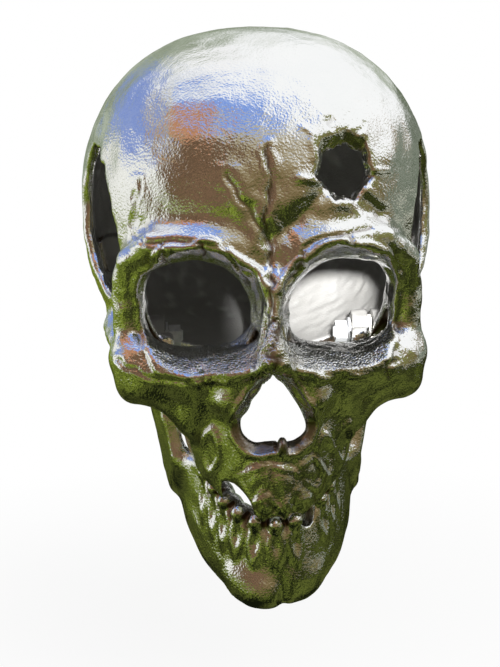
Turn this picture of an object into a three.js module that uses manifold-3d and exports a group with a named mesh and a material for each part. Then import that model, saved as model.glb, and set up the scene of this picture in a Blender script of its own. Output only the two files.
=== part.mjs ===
// A life-size hollow cast-metal skull with a hinged lower jaw, hung on a wall by its back.
// Millimetres. X runs across the face, +Y to the back of the head and +Z up.
// It is modelled with the eye line at z 0 and the middle of the vault at y 0, then moved so that the
// middle of the flat wall pad is the origin.
import * as THREE from 'three';
import Module from 'manifold-3d';

const wasm = await Module();
wasm.setup();

// Vault of the cranium
const CRANIUM_WIDTH = 146;
const CRANIUM_LENGTH = 180;
const CRANIUM_HEIGHT = 147;
const VAULT_RISE = 33;
const VAULT_SQUARENESS = 2.28;
const WALL = 4.5;
const SEAM_BEHIND_PIVOT = 13;
const BASE_LENGTH = 80;
const BASE_CORNER = 30;

// Eye openings and brow
const ORBIT_SPACING = 54;
const ORBIT_WIDTH = 39;
const ORBIT_HEIGHT = 36;
const ORBIT_TURN = 0.12;
const ORBIT_SQUARENESS = 3.2;
const ORBIT_CORNER = 17.5;
const ORBIT_FLARE = 0.26;
const BROW_RADIUS = 4.8;
const LOWER_RIM_RADIUS = 3.8;
const SIDE_RIM_RADIUS = 5.8;

// Cheekbones and temple openings
const CHEEK_WIDTH = 120;
const CHEEK_BOTTOM = -38.5;
const CHEEK_RADIUS = 9;
const ARCH_RADIUS = 5.5;
const TEMPLE_LENGTH = 40;
const TEMPLE_HEIGHT = 62;
const TEMPLE_RISE = 29;
const TEMPLE_AHEAD_OF_PIVOT = 30;
const TEMPLE_LEAN = 0.3;

// Nose and upper jaw
const NOSE_TOP = -25;
const NOSE_BOTTOM = -51;
const NOSE_WIDTH = 25;
const PALATE_WIDTH = 60;
const PALATE_LENGTH = 56;
const UPPER_GUM_LINE = -80.5;
const BITE_SLOPE = 0.66;
const TOOTH_WIDTH = 8.4;
const TOOTH_THICKNESS = 6;
const UPPER_TOOTH_HEIGHT = 18;
const UPPER_TOOTH_SHOWS = 1.5;
const SOCKET_WIDTH = 6.4;
const SOCKET_LENGTH = 14;
const SOCKET_LEAN = 0.6;

// Hole in the forehead
const HOLE_SIDE = 28;
const HOLE_RISE = 50;
const HOLE_RADIUS = 8;
const HOLE_BEVEL = 4;

// Lower jaw
const CHIN_BOTTOM = -117;
const JAW_SPREAD = 30.5;
const JAW_ROUNDNESS = 2;
const JAW_THICKNESS = 11;
const JAW_EDGE_RADIUS = 5.2;
const JAW_LEAN = 0.12;
const JAW_TOP_RISE = 20;
const JAW_TOP_FALL = 0.3;
const JAW_TOP_THICKNESS = 7;
const JAW_TAPER = 4;
const JAW_TAPER_HEIGHT = 24;
const JAW_TAPER_FULL = 26;
const JAW_TAPER_END = 46;
const JAW_ANGLE_DROP = 57;
const RAMUS_THICKNESS = 7;
const RAMUS_FLARE = 0.15;
const RAMUS_TILT = 0.2;
const RAMUS_BEND = 28;
const LOWER_TOOTH_HEIGHT = 12;
const LOWER_TOOTH_SHOWS = 1.2;
const BITE_GAP = 1.2;

// Jaw pivot
const PIVOT_BACK = -8;
const PIVOT_DROP = -22;
const PIVOT_EYE_RADIUS = 9;
const BOSS_RADIUS = 9.5;
const BOSS_LENGTH = 9;
const BOLT_RADIUS = 2.5;
const BOLT_HEAD_RADIUS = 5;
const BOLT_HEAD_HEIGHT = 3;
const BUSH_WALL = 1.2;
const BUSH_FLANGE_RADIUS = 7;
const WASHER_RADIUS = 6;
const WASHER_THICKNESS = 1;
const NUT_RADIUS = 4.6;
const NUT_HEIGHT = 5;

// Seam lugs and screws
const LUG_BITE = 2;
const LUG_FRONT_LENGTH = 12;
const LUG_REAR_LENGTH = 5;
const SCREW_RADIUS = 2;
const SCREW_HEAD_RADIUS = 3.5;
const SCREW_HEAD_HEIGHT = 4;
const SCREW_REACH = 9;
const UPPER_LUG_ANGLE = 60;
const LOWER_LUG_ANGLE = -18;

// Wall pad and hanger plate
const PAD_CUT = 3;
const PAD_WALL = 6;
const HANGER_LENGTH = 36;
const HANGER_HEIGHT = 14;
const HANGER_THICKNESS = 1.5;
const HANGER_RISE = 11;
const HANGER_SCREW_RADIUS = 1.5;
const HANGER_SCREW_REACH = 4;
const KEYHOLE_RADIUS = 4;
const KEYHOLE_SLOT = 2;

// Clearance between touching pieces, and the cells the cast shapes are meshed in
const SEAT_GAP = 0.3;
const FACE_CELL = 5.8;
const VAULT_CELL = 11;
const JAW_CELL = 5.4;

// Places that follow from the sizes above
const vaultRadii = [CRANIUM_WIDTH / 2, CRANIUM_LENGTH / 2, CRANIUM_HEIGHT / 2];
const rimY = -vaultRadii[1] + 2;
const seamY = PIVOT_BACK + SEAM_BEHIND_PIVOT;
const padY = vaultRadii[1] - PAD_CUT;
const orbitX = ORBIT_SPACING / 2;
const orbitHalf = [ORBIT_WIDTH / 2, ORBIT_HEIGHT / 2];
const cheekX = CHEEK_WIDTH / 2;
const palateX = PALATE_WIDTH / 2;
const upperFrontY = rimY - 7;
const palateBackY = upperFrontY + PALATE_LENGTH;
const upperBite = UPPER_GUM_LINE - UPPER_TOOTH_SHOWS;
const wallAtPivot = vaultHalfWidth(PIVOT_BACK, PIVOT_DROP) - WALL;
const ramusOuterX = wallAtPivot - BUSH_WALL - 2 * SEAT_GAP;
const ramusInnerX = ramusOuterX - RAMUS_THICKNESS;
const ramusX = (ramusOuterX + ramusInnerX) / 2;
const boltSeatX = wallAtPivot + BOSS_LENGTH;
const washerX = ramusInnerX - SEAT_GAP;
const nutX = washerX - WASHER_THICKNESS - SEAT_GAP;
const boltEndX = nutX - NUT_HEIGHT - 1;
const bushBore = BOLT_RADIUS + SEAT_GAP;
const bushRadius = bushBore + BUSH_WALL;
const jawFrontY = upperFrontY + 4;
const jawBackY = PIVOT_BACK - 12;
const biteAtJawFront = upperBite + (jawFrontY - upperFrontY) * BITE_SLOPE;
const jawTopZ = biteAtJawFront - BITE_GAP - LOWER_TOOTH_SHOWS;
const pivotAcross = [PIVOT_BACK, PIVOT_DROP];
const lugInset = SCREW_HEAD_RADIUS + 2;
const lugRadius = lugInset + LUG_BITE;

// Half the width of the vault where it is y behind the middle and z above the eye line.
function vaultHalfWidth(y, z) {
  const n = VAULT_SQUARENESS;
  const used = Math.abs(y / vaultRadii[1]) ** n + Math.abs((z - VAULT_RISE) / vaultRadii[2]) ** n;
  return vaultRadii[0] * Math.max(0, 1 - used) ** (1 / n);
}

// Where the front of the vault is at x across and z above the eye line.
function vaultFront(x, z) {
  const n = VAULT_SQUARENESS;
  const used = Math.abs(x / vaultRadii[0]) ** n + Math.abs((z - VAULT_RISE) / vaultRadii[2]) ** n;
  return -vaultRadii[1] * Math.max(0, 1 - used) ** (1 / n);
}

// Distance fields: negative inside, in millimetres near the surface.
const mix = (a, b, t) => a + (b - a) * t;
const clamp01 = (t) => Math.min(1, Math.max(0, t));

function smoothMin(a, b, k) {
  const h = Math.max(k - Math.abs(a - b), 0) / k;
  return Math.min(a, b) - (h * h * k) / 4;
}

const smoothMax = (a, b, k) => -smoothMin(-a, -b, k);

function vault(x, y, z, inset) {
  const n = VAULT_SQUARENESS;
  const a = Math.abs(x / (vaultRadii[0] - inset)) ** n;
  const b = Math.abs(y / (vaultRadii[1] - inset)) ** n;
  const c = Math.abs((z - VAULT_RISE) / (vaultRadii[2] - inset)) ** n;
  return ((a + b + c) ** (1 / n) - 1) * (vaultRadii[0] - inset);
}

function ellipsoid(x, y, z, c, r) {
  const u = [(x - c[0]) / r[0], (y - c[1]) / r[1], (z - c[2]) / r[2]];
  const k0 = Math.hypot(u[0], u[1], u[2]);
  const k1 = Math.hypot(u[0] / r[0], u[1] / r[1], u[2] / r[2]);
  return (k0 * (k0 - 1)) / Math.max(k1, 1e-9);
}

// A bar with round ends through a row of points, each with its own radius as the fourth value.
function bars(x, y, z, points) {
  let best = Infinity;
  for (let i = 0; i + 1 < points.length; i += 1) {
    const a = points[i];
    const b = points[i + 1];
    const d = [b[0] - a[0], b[1] - a[1], b[2] - a[2]];
    const p = [x - a[0], y - a[1], z - a[2]];
    const along = p[0] * d[0] + p[1] * d[1] + p[2] * d[2];
    const t = clamp01(along / (d[0] ** 2 + d[1] ** 2 + d[2] ** 2));
    const gap = Math.hypot(p[0] - t * d[0], p[1] - t * d[1], p[2] - t * d[2]);
    best = Math.min(best, gap - mix(a[3], b[3], t));
  }
  return best;
}

function roundBox(x, y, z, c, half, r) {
  const qx = Math.abs(x - c[0]) - half[0] + r;
  const qy = Math.abs(y - c[1]) - half[1] + r;
  const qz = Math.abs(z - c[2]) - half[2] + r;
  const outside = Math.hypot(Math.max(qx, 0), Math.max(qy, 0), Math.max(qz, 0));
  return outside + Math.min(Math.max(qx, qy, qz), 0) - r;
}

// Lines of the face on the positive side; the other side mirrors them.
const brow = [
  [8, rimY + 2, orbitHalf[1] - 1.5, BROW_RADIUS],
  [orbitX / 2, rimY + 1.5, orbitHalf[1] + 3.5, BROW_RADIUS],
  [orbitX, rimY + 1.5, orbitHalf[1] + 6, BROW_RADIUS],
  [orbitX + orbitHalf[0] - 2.5, rimY + 7, orbitHalf[1] + 5.5, BROW_RADIUS],
  [cheekX - 7, rimY + 14.5, orbitHalf[1] - 1, BROW_RADIUS],
  [cheekX - 5.5, rimY + 20, 4, SIDE_RIM_RADIUS],
  [cheekX - 6.5, rimY + 20, -orbitHalf[1], SIDE_RIM_RADIUS],
];
const lowerRim = [
  [cheekX - 6.5, rimY + 18, -orbitHalf[1] - 1, SIDE_RIM_RADIUS],
  [cheekX - 14, rimY + 9, -orbitHalf[1] - 6, LOWER_RIM_RADIUS],
  [orbitX, rimY + 1.5, -orbitHalf[1] - 6.5, LOWER_RIM_RADIUS],
  [13, rimY + 0.5, -orbitHalf[1] - 3, LOWER_RIM_RADIUS],
];
const cheekRoot = [
  [cheekX - 17, rimY + 15, CHEEK_BOTTOM + 10, 8],
  [palateX + 1, rimY + 12, CHEEK_BOTTOM - 6, 6],
  [orbitX, rimY + 8, CHEEK_BOTTOM + 6, 8],
  [cheekX - 21, rimY + 13, CHEEK_BOTTOM + 12, 9],
];
const noseRidge = [
  [0, rimY - 1, 9, 6.5],
  [0, rimY - 6, -9, 6],
  [0, rimY - 10, NOSE_TOP + 3, 5.5],
];
const noseSide = [
  [8, rimY + 2, 5, 5],
  [11, rimY - 1, -15, 5],
  [NOSE_WIDTH / 2 + 4, rimY - 2, NOSE_TOP - 9, 5],
];
const cheekArch = [
  [cheekX - 5, rimY + 26, -21, ARCH_RADIUS],
  [cheekX - 1, rimY + 52, -13, ARCH_RADIUS],
  [wallAtPivot + 7, PIVOT_BACK - 6, -11, ARCH_RADIUS],
];

// How low the upper gum comes at y; the bite slopes up towards the back.
const gumLine = (y) => UPPER_GUM_LINE + (y - upperFrontY) * BITE_SLOPE;

function upperJaw(x, y, z, inset) {
  const t = clamp01((z + 25) / (UPPER_GUM_LINE + 25));
  const halfWidth = mix(palateX + 10, palateX - 3, t) - inset;
  const halfDepth = mix(30, 33, t) - inset;
  const middleY = upperFrontY + mix(32, 33, t);
  const round = Math.hypot(x / halfWidth, Math.min(0, y - middleY) / halfDepth);
  return (round - 1) * Math.min(halfWidth, halfDepth);
}

// An eye opening: a rounded square, cut across its upper inner corner, that widens to the front.
function orbit(x, y, z) {
  const n = ORBIT_SQUARENESS;
  const flare = 1 + ORBIT_FLARE * clamp01((rimY + 6 - y) / 12);
  const across = (x - orbitX) * Math.cos(ORBIT_TURN) - z * Math.sin(ORBIT_TURN);
  const up = z * Math.cos(ORBIT_TURN) + (x - orbitX) * Math.sin(ORBIT_TURN);
  const u = Math.abs(across / (orbitHalf[0] * flare)) ** n;
  const v = Math.abs(up / (orbitHalf[1] * flare)) ** n;
  const side = ((u + v) ** (1 / n) - 1) * orbitHalf[1];
  const corner = (up - across) * Math.SQRT1_2 - ORBIT_CORNER * flare;
  return smoothMax(smoothMax(side, corner, 6), y - rimY - 55, 8);
}

// Outside of the cranium and face as one solid, before it is hollowed.
function cranium(px, y, z) {
  const x = Math.abs(px);
  let d = vault(x, y, z, 0);
  d = smoothMin(d, bars(x, y, z, brow), 8);
  d = smoothMin(d, bars(x, y, z, lowerRim), 5);
  d = smoothMin(d, bars(x, y, z, cheekRoot), 10);
  d = smoothMin(d, bars(x, y, z, noseRidge), 5);
  d = smoothMin(d, bars(x, y, z, noseSide), 5);
  d = smoothMin(d, bars(x, y, z, cheekArch), 6);
  const cheekTop = -orbitHalf[1] + 4;
  const cheekMiddle = [cheekX - 12.5, rimY + 19, (CHEEK_BOTTOM + cheekTop) / 2];
  const cheekHalf = [12.5, 12, (cheekTop - CHEEK_BOTTOM) / 2];
  d = smoothMin(d, roundBox(x, y, z, cheekMiddle, cheekHalf, CHEEK_RADIUS), 6);
  const gum = smoothMax(upperJaw(x, y, z, 0), gumLine(y) - z, 3);
  const jaw = smoothMax(smoothMax(gum, z + 18, 6), y - palateBackY, 4);
  d = smoothMin(d, jaw, 6);
  const ear = [wallAtPivot + 4, PIVOT_BACK, PIVOT_DROP + 2];
  d = smoothMin(d, ellipsoid(x, y, z, ear, [11, BOSS_RADIUS + 3.5, BOSS_RADIUS + 2.5]), 5);
  const mastoid = [wallAtPivot, PIVOT_BACK + 27, PIVOT_DROP - 8];
  d = smoothMin(d, ellipsoid(x, y, z, mastoid, [11, 13, 15]), 8);
  return smoothMax(d, -orbit(x, y, z), 2.5);
}

// Hollow of the cranium, and the hollow behind the upper jaw, which is open below and behind.
function hollow(px, y, z) {
  const x = Math.abs(px);
  const brain = smoothMax(vault(x, y, z, WALL), y - (padY - PAD_WALL), 3);
  const mouth = Math.max(upperJaw(x, y, z, WALL + 0.5), z + 27, y - palateBackY - 12, upperBite - 12 - z);
  return Math.min(brain, mouth);
}

// Lower jaw. In plan it is an arch; across the arch it is a rounded upright slab, which leans forward
// and is thinner towards its top. The top follows the bite and falls away behind the teeth.
const jawReach = jawBackY - jawFrontY - JAW_THICKNESS / 2;
const jawAngleZ = PIVOT_DROP - JAW_ANGLE_DROP;
const lowerEdge = (y) => mix(CHIN_BOTTOM, jawAngleZ, (y - jawFrontY) / (jawBackY - jawFrontY));

function lowerTop(y) {
  const behind = y - jawFrontY - JAW_TOP_RISE / BITE_SLOPE;
  return jawTopZ + JAW_TOP_RISE + Math.min(behind * BITE_SLOPE, -behind * JAW_TOP_FALL);
}

function archPlan(x, y) {
  const n = JAW_ROUNDNESS;
  const u = Math.abs(x) / JAW_SPREAD;
  const v = Math.max(0, jawBackY - y) / jawReach;
  const level = Math.max(0.05, (u ** n + v ** n) ** (1 / n));
  const slope = Math.hypot(u ** (n - 1) / JAW_SPREAD, v ** (n - 1) / jawReach) * level ** (1 - n);
  return (level - 1) / Math.max(slope, 0.5 / jawReach);
}

function jawBody(x, y, z) {
  const top = lowerTop(y);
  const bottom = lowerEdge(y);
  const leaning = y + JAW_LEAN * Math.max(0, z - CHIN_BOTTOM);
  const inFront = clamp01((jawFrontY + JAW_TAPER_END - y) / (JAW_TAPER_END - JAW_TAPER_FULL));
  const high = clamp01(1 + (z - top) / JAW_TAPER_HEIGHT) * inFront;
  const thinner = (JAW_THICKNESS - JAW_TOP_THICKNESS) / 2;
  const middle = archPlan(x, leaning) + (JAW_TAPER - thinner) * high;
  const across = Math.abs(middle) - JAW_THICKNESS / 2 + thinner * high + JAW_EDGE_RADIUS;
  const tall = Math.abs(z - (top + bottom) / 2) - (top - bottom) / 2 + JAW_EDGE_RADIUS;
  const outside = Math.hypot(Math.max(across, 0), Math.max(tall, 0));
  const slab = outside + Math.min(Math.max(across, tall), 0) - JAW_EDGE_RADIUS;
  return smoothMax(slab, y - jawBackY - 4, 4);
}

// Each branch is a leaning plate; its outline is drawn by bars in the y, z plane.
function ramus(x, y, z) {
  const lean = Math.min(0, y - PIVOT_BACK + PIVOT_EYE_RADIUS) * RAMUS_FLARE;
  const tilt = Math.min(0, z - PIVOT_DROP + RAMUS_BEND) * RAMUS_TILT;
  const low = jawAngleZ + 10;
  const rear = [[0, PIVOT_BACK, PIVOT_DROP, PIVOT_EYE_RADIUS], [0, PIVOT_BACK - 7, low, 10]];
  const front = [[0, PIVOT_BACK - 30, PIVOT_DROP + 2, 4], [0, PIVOT_BACK - 33, low + 4, 9]];
  const web = [[0, PIVOT_BACK - 15, PIVOT_DROP - 22, 10], [0, PIVOT_BACK - 22, low, 13]];
  const edges = smoothMin(bars(0, y, z, rear), bars(0, y, z, front), 6);
  const outline = smoothMin(edges, bars(0, y, z, web), 6);
  return smoothMax(outline, Math.abs(x - ramusX - lean - tilt) - RAMUS_THICKNESS / 2, 2);
}

function lowerJaw(px, y, z) {
  const x = Math.abs(px);
  let d = smoothMin(jawBody(x, y, z), ramus(x, y, z), 9);
  const chin = [0, jawFrontY + 8, CHIN_BOTTOM + 11];
  d = smoothMin(d, ellipsoid(x, y, z, chin, [18, 7, 11]), 4);
  return smoothMax(d, CHIN_BOTTOM - z, 3);
}

// A point moved onto the surface of a field, by no more than a limit.
function settled(field, point, limit) {
  const [x, y, z] = point;
  const e = 0.2;
  const slope = [
    (field(x + e, y, z) - field(x - e, y, z)) / (2 * e),
    (field(x, y + e, z) - field(x, y - e, z)) / (2 * e),
    (field(x, y, z + e) - field(x, y, z - e)) / (2 * e),
  ];
  const steep = Math.max(0.3, Math.hypot(...slope));
  const move = Math.min(limit, Math.max(-limit, field(x, y, z) / steep));
  return point.map((v, n) => v - (move * slope[n]) / steep);
}

// Mesh of a field by surface nets. A face of a cell whose corners alternate is made plain first, so
// that every edge of the mesh has two faces.
function netOf(field, min, max, cell) {
  const count = [0, 1, 2].map((i) => Math.ceil((max[i] - min[i]) / cell) + 1);
  const step = [1, count[0], count[0] * count[1]];
  const values = new Float64Array(count[0] * count[1] * count[2]);
  const place = (i, j, k) => [min[0] + i * cell, min[1] + j * cell, min[2] + k * cell];
  const each = (less, visit) => {
    for (let k = 0; k < count[2] - less; k += 1) {
      for (let j = 0; j < count[1] - less; j += 1) {
        for (let i = 0; i < count[0] - less; i += 1) visit(i, j, k, i + j * step[1] + k * step[2]);
      }
    }
  };
  each(0, (i, j, k, at) => {
    const low = Math.min(i, j, k) === 0;
    const high = i === count[0] - 1 || j === count[1] - 1 || k === count[2] - 1;
    const value = field(...place(i, j, k)) || 1e-6;
    values[at] = low || high ? Math.max(value, cell / 2) : value;
  });
  const plainFace = (at, a, b) => {
    const ring = [at, at + step[a], at + step[a] + step[b], at + step[b]];
    const signs = ring.map((n) => values[n] < 0);
    if (signs[0] !== signs[2] || signs[1] !== signs[3] || signs[0] === signs[1]) return false;
    const outer = ring.filter((n) => values[n] > 0);
    const least = values[outer[0]] < values[outer[1]] ? outer[0] : outer[1];
    values[least] = -0.05 * cell;
    return true;
  };
  for (let changed = true; changed; ) {
    changed = false;
    each(1, (i, j, k, at) => {
      for (const [a, b] of [[0, 1], [1, 2], [2, 0]]) changed = plainFace(at, a, b) || changed;
    });
  }
  const corners = [0, 1, 2, 3, 4, 5, 6, 7].map((n) => [n & 1, (n >> 1) & 1, n >> 2]);
  const offsets = corners.map((c) => c[0] + c[1] * step[1] + c[2] * step[2]);
  const vertexOf = new Int32Array(values.length).fill(-1);
  const points = [];
  each(1, (i, j, k, at) => {
    const sum = [0, 0, 0];
    let crossings = 0;
    for (let a = 0; a < 8; a += 1) {
      for (const bit of [1, 2, 4]) {
        const b = a | bit;
        const va = values[at + offsets[a]];
        const vb = values[at + offsets[b]];
        if (va < 0 === vb < 0) continue;
        const t = va / (va - vb);
        for (let n = 0; n < 3; n += 1) sum[n] += mix(corners[a][n], corners[b][n], t);
        crossings += 1;
      }
    }
    if (crossings === 0) return;
    vertexOf[at] = points.length / 3;
    const low = place(i, j, k);
    points.push(...settled(field, sum.map((s, n) => low[n] + (s / crossings) * cell), cell / 3));
  });
  const faces = [];
  each(1, (i, j, k, at) => {
    for (let a = 0; a < 3; a += 1) {
      const b = step[(a + 1) % 3];
      const c = step[(a + 2) % 3];
      const inside = values[at] < 0;
      const onEdge = [i, j, k][(a + 1) % 3] === 0 || [i, j, k][(a + 2) % 3] === 0;
      if (onEdge || inside === values[at + step[a]] < 0) continue;
      const ring = [at, at - b, at - b - c, at - c].map((n) => vertexOf[n]);
      if (!inside) ring.reverse();
      faces.push(ring[0], ring[1], ring[2], ring[0], ring[2], ring[3]);
    }
  });
  return solidOf(points, faces);
}

// Solids, joined and cut.
function solidOf(points, triangles) {
  const vertProperties = new Float32Array(points);
  const triVerts = new Uint32Array(triangles);
  return new wasm.Manifold(new wasm.Mesh({ numProp: 3, vertProperties, triVerts }));
}

// A geometry as a solid. Its points that coincide are made one.
function solid(geometry) {
  const points = geometry.getAttribute('position').array;
  const faces = geometry.index ? geometry.index.array : [...Array(points.length / 3).keys()];
  const seen = new Map();
  const kept = [];
  const renamed = [];
  for (let i = 0; i < points.length; i += 3) {
    const key = [0, 1, 2].map((n) => Math.round(points[i + n] * 1e4)).join();
    if (!seen.has(key)) {
      seen.set(key, kept.length / 3);
      kept.push(points[i], points[i + 1], points[i + 2]);
    }
    renamed.push(seen.get(key));
  }
  const triangles = [];
  for (let i = 0; i < faces.length; i += 3) {
    const [a, b, c] = [renamed[faces[i]], renamed[faces[i + 1]], renamed[faces[i + 2]]];
    if (a !== b && b !== c && c !== a) triangles.push(a, b, c);
  }
  return solidOf(kept, triangles);
}

function meshOf(name, body, material) {
  const mesh = body.getMesh();
  const geometry = new THREE.BufferGeometry();
  geometry.setAttribute('position', new THREE.BufferAttribute(new Float32Array(mesh.vertProperties), 3));
  geometry.setIndex(new THREE.BufferAttribute(new Uint32Array(mesh.triVerts), 1));
  geometry.computeVertexNormals();
  const made = new THREE.Mesh(geometry, material);
  made.name = name;
  return made;
}

function box(from, to) {
  const size = to.map((v, i) => v - from[i]);
  const geometry = new THREE.BoxGeometry(...size);
  geometry.translate(...from.map((v, i) => v + size[i] / 2));
  return solid(geometry);
}

// A turned piece: its profile is pairs of radius and place along the axis, which is X or Y.
// The places rise along the profile. A piece with side -1 is the mirrored one, on the far side of x 0.
function turned(axis, side, profile, across, sides) {
  const points = profile.map(([r, at]) => new THREE.Vector2(r, side * at));
  if (side < 0) points.reverse();
  const geometry = new THREE.LatheGeometry(points, sides);
  if (axis === 'x') geometry.rotateZ(-Math.PI / 2);
  if (axis === 'x') geometry.translate(0, across[0], across[1]);
  else geometry.translate(across[0], 0, across[1]);
  return solid(geometry);
}

// A plain round bar of one radius.
const rod = (axis, side, from, to, radius, across, sides) =>
  turned(axis, side, [[0, from], [radius, from], [radius, to], [0, to]], across, sides);

// A flat outline in x, z drawn out along Y, or in x, y drawn out along Z.
function drawnAlongY(outline, from, to) {
  const shape = new THREE.Shape(outline.map(([x, z]) => new THREE.Vector2(x, z)));
  const geometry = new THREE.ExtrudeGeometry(shape, { depth: to - from, bevelEnabled: false });
  geometry.rotateX(Math.PI / 2);
  geometry.translate(0, to, 0);
  return solid(geometry);
}

function drawnAlongZ(outline, from, to) {
  const shape = new THREE.Shape(outline.map(([x, y]) => new THREE.Vector2(x, y)));
  const geometry = new THREE.ExtrudeGeometry(shape, { depth: to - from, bevelEnabled: false });
  geometry.translate(0, 0, from);
  return solid(geometry);
}

// Outline of a rectangle with round corners.
function roundedOutline(middle, half, radius, stepsPerCorner) {
  const outline = [];
  for (let corner = 0; corner < 4; corner += 1) {
    const signX = corner === 0 || corner === 3 ? 1 : -1;
    const signY = corner < 2 ? 1 : -1;
    for (let i = 0; i <= stepsPerCorner; i += 1) {
      const angle = (Math.PI / 2) * (corner + i / stepsPerCorner);
      const x = middle[0] + signX * (half[0] - radius) + radius * Math.cos(angle);
      const y = middle[1] + signY * (half[1] - radius) + radius * Math.sin(angle);
      outline.push([x, y]);
    }
  }
  return outline;
}

// A place at a distance along a plan curve, found by walking it from its middle.
function walkCurve(curve, distance) {
  let walked = 0;
  let at = curve(0);
  for (let i = 1; i <= 400; i += 1) {
    const next = curve((Math.PI / 2) * (i / 400));
    walked += Math.hypot(next[0] - at[0], next[1] - at[1]);
    at = next;
    if (walked >= distance) return at;
  }
  return at;
}

// A tooth is a smooth pebble, turned to face out of its arch.
function tooth(x, y, z, turn, height) {
  const geometry = new THREE.SphereGeometry(1, 8, 6);
  geometry.rotateX(Math.PI / 2);
  geometry.scale((0.96 * TOOTH_WIDTH) / 2, TOOTH_THICKNESS / 2, height / 2);
  geometry.rotateZ(turn);
  geometry.translate(x, y, z);
  return solid(geometry);
}

// Teeth sit at odd half widths either side of the middle; one is missing from each arch.
const toothPlaces = [-4.5, -3.5, -2.5, -1.5, -0.5, 0.5, 1.5, 2.5, 3.5, 4.5];
const MISSING_UPPER = -1.5;
const MISSING_LOWER = 1.5;

const upperCurve = (angle) => [
  (palateX - 5.5) * Math.sin(angle),
  upperFrontY + 33 - 30.5 * Math.cos(angle),
];
const lowerCurve = (angle) => [
  JAW_SPREAD * Math.sin(angle) ** (2 / JAW_ROUNDNESS),
  jawBackY - jawReach * Math.cos(angle) ** (2 / JAW_ROUNDNESS),
];

function withTeeth(body, curve, missing, place) {
  return toothPlaces.filter((n) => n !== missing).reduce((whole, n) => {
    const [x, y] = walkCurve(curve, Math.abs(n) * TOOTH_WIDTH);
    const [nearX, nearY] = walkCurve(curve, (Math.abs(n) - 0.4) * TOOTH_WIDTH);
    const turn = Math.sign(n) * Math.atan2(y - nearY, x - nearX);
    return whole.add(place(Math.sign(n) * x, y, turn));
  }, body);
}

// Cranium: the outside, hollowed, opened at the eyes, nose, temples, forehead and base.
const reachX = vaultRadii[0] + 12;
const topZ = VAULT_RISE + vaultRadii[2] + 10;
const lowZ = UPPER_GUM_LINE - 15;
const frontY = rimY - 30;
const hollowBody = netOf(hollow, [-reachX, frontY, lowZ - 25], [reachX, padY + 10, topZ], VAULT_CELL);

const baseMiddle = [0, rimY + 30 + BASE_LENGTH / 2];
const baseHalf = [wallAtPivot + 3.5, BASE_LENGTH / 2];
const baseOpening = drawnAlongZ(
  roundedOutline(baseMiddle, baseHalf, BASE_CORNER, 5),
  lowZ,
  PIVOT_DROP + 8,
);

function templeOpening(side) {
  const geometry = new THREE.CylinderGeometry(1, 1, reachX, 18);
  geometry.rotateZ(Math.PI / 2);
  geometry.scale(1, TEMPLE_LENGTH / 2, TEMPLE_HEIGHT / 2);
  geometry.rotateX(-TEMPLE_LEAN);
  geometry.translate(side * (palateX + reachX / 2), PIVOT_BACK - TEMPLE_AHEAD_OF_PIVOT, TEMPLE_RISE);
  return solid(geometry);
}

// Half of the nose opening, as shares of its half width and of its height from the top down.
const noseHalf = [[0.3, 0.05], [0.62, 0.28], [0.92, 0.58], [1, 0.8], [0.86, 0.96], [0.5, 1], [0.26, 0.95]];
const nosePoint = ([u, v], side) => [(side * u * NOSE_WIDTH) / 2, mix(NOSE_TOP, NOSE_BOTTOM, v)];
const noseOutline = [
  nosePoint([0, 0], 1),
  ...noseHalf.map((p) => nosePoint(p, -1)),
  nosePoint([0, 0.84], 1),
  ...noseHalf.toReversed().map((p) => nosePoint(p, 1)),
];
const noseOpening = drawnAlongY(noseOutline, frontY, upperFrontY + 22);

// The broken hole: a seven-sided opening with a chipped bevel round it.
function foreheadHole() {
  const corners = [1, 1.12, 0.92, 1.08, 1, 1.14, 0.9];
  const outline = corners.map((share, i) => {
    const angle = (2 * Math.PI * i) / corners.length;
    const reach = share * HOLE_RADIUS;
    return [HOLE_SIDE + reach * Math.cos(angle), HOLE_RISE + reach * Math.sin(angle)];
  });
  const surface = vaultFront(HOLE_SIDE, HOLE_RISE);
  const bevel = [
    [0, surface - 12],
    [HOLE_RADIUS + HOLE_BEVEL * 2, surface - 12],
    [HOLE_RADIUS + HOLE_BEVEL * 1.2, surface - 1],
    [HOLE_RADIUS, surface + WALL / 2],
    [0, surface + WALL / 2],
  ];
  const cut = drawnAlongY(outline, frontY, surface + 4 * WALL);
  return cut.add(turned('y', 1, bevel, [HOLE_SIDE, HOLE_RISE], 9));
}

// The gap of the missing upper tooth: a slanted oval through the wall.
function emptySocket() {
  const [x, y] = walkCurve(upperCurve, Math.abs(MISSING_UPPER) * TOOTH_WIDTH);
  const backY = y + 2 * WALL;
  const geometry = new THREE.CylinderGeometry(1, 1, backY - frontY, 12);
  geometry.scale(SOCKET_WIDTH / 2, 1, SOCKET_LENGTH / 2);
  geometry.rotateY(-SOCKET_LEAN);
  geometry.translate(Math.sign(MISSING_UPPER) * x, (frontY + backY) / 2, gumLine(y) + SOCKET_LENGTH / 6);
  return solid(geometry);
}

// Lugs inside the seam, placed on the inner wall at an angle from the middle of the vault.
function lugPlace(side, degrees) {
  const angle = THREE.MathUtils.degToRad(degrees);
  const n = VAULT_SQUARENESS;
  const across = Math.abs(Math.cos(angle) / (vaultRadii[0] - WALL)) ** n;
  const up = Math.abs(Math.sin(angle) / (vaultRadii[2] - WALL)) ** n;
  const reach = (across + up) ** (-1 / n) - lugInset;
  return [side * reach * Math.cos(angle), VAULT_RISE + reach * Math.sin(angle)];
}

const lugs = [
  ['upper_left', lugPlace(-1, UPPER_LUG_ANGLE)],
  ['upper_right', lugPlace(1, UPPER_LUG_ANGLE)],
  ['lower_left', lugPlace(-1, LOWER_LUG_ANGLE)],
  ['lower_right', lugPlace(1, LOWER_LUG_ANGLE)],
];
const faceSeamY = seamY - SEAT_GAP / 2;
const rearSeamY = seamY + SEAT_GAP / 2;
const sides = [['left', -1], ['right', 1]];

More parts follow.
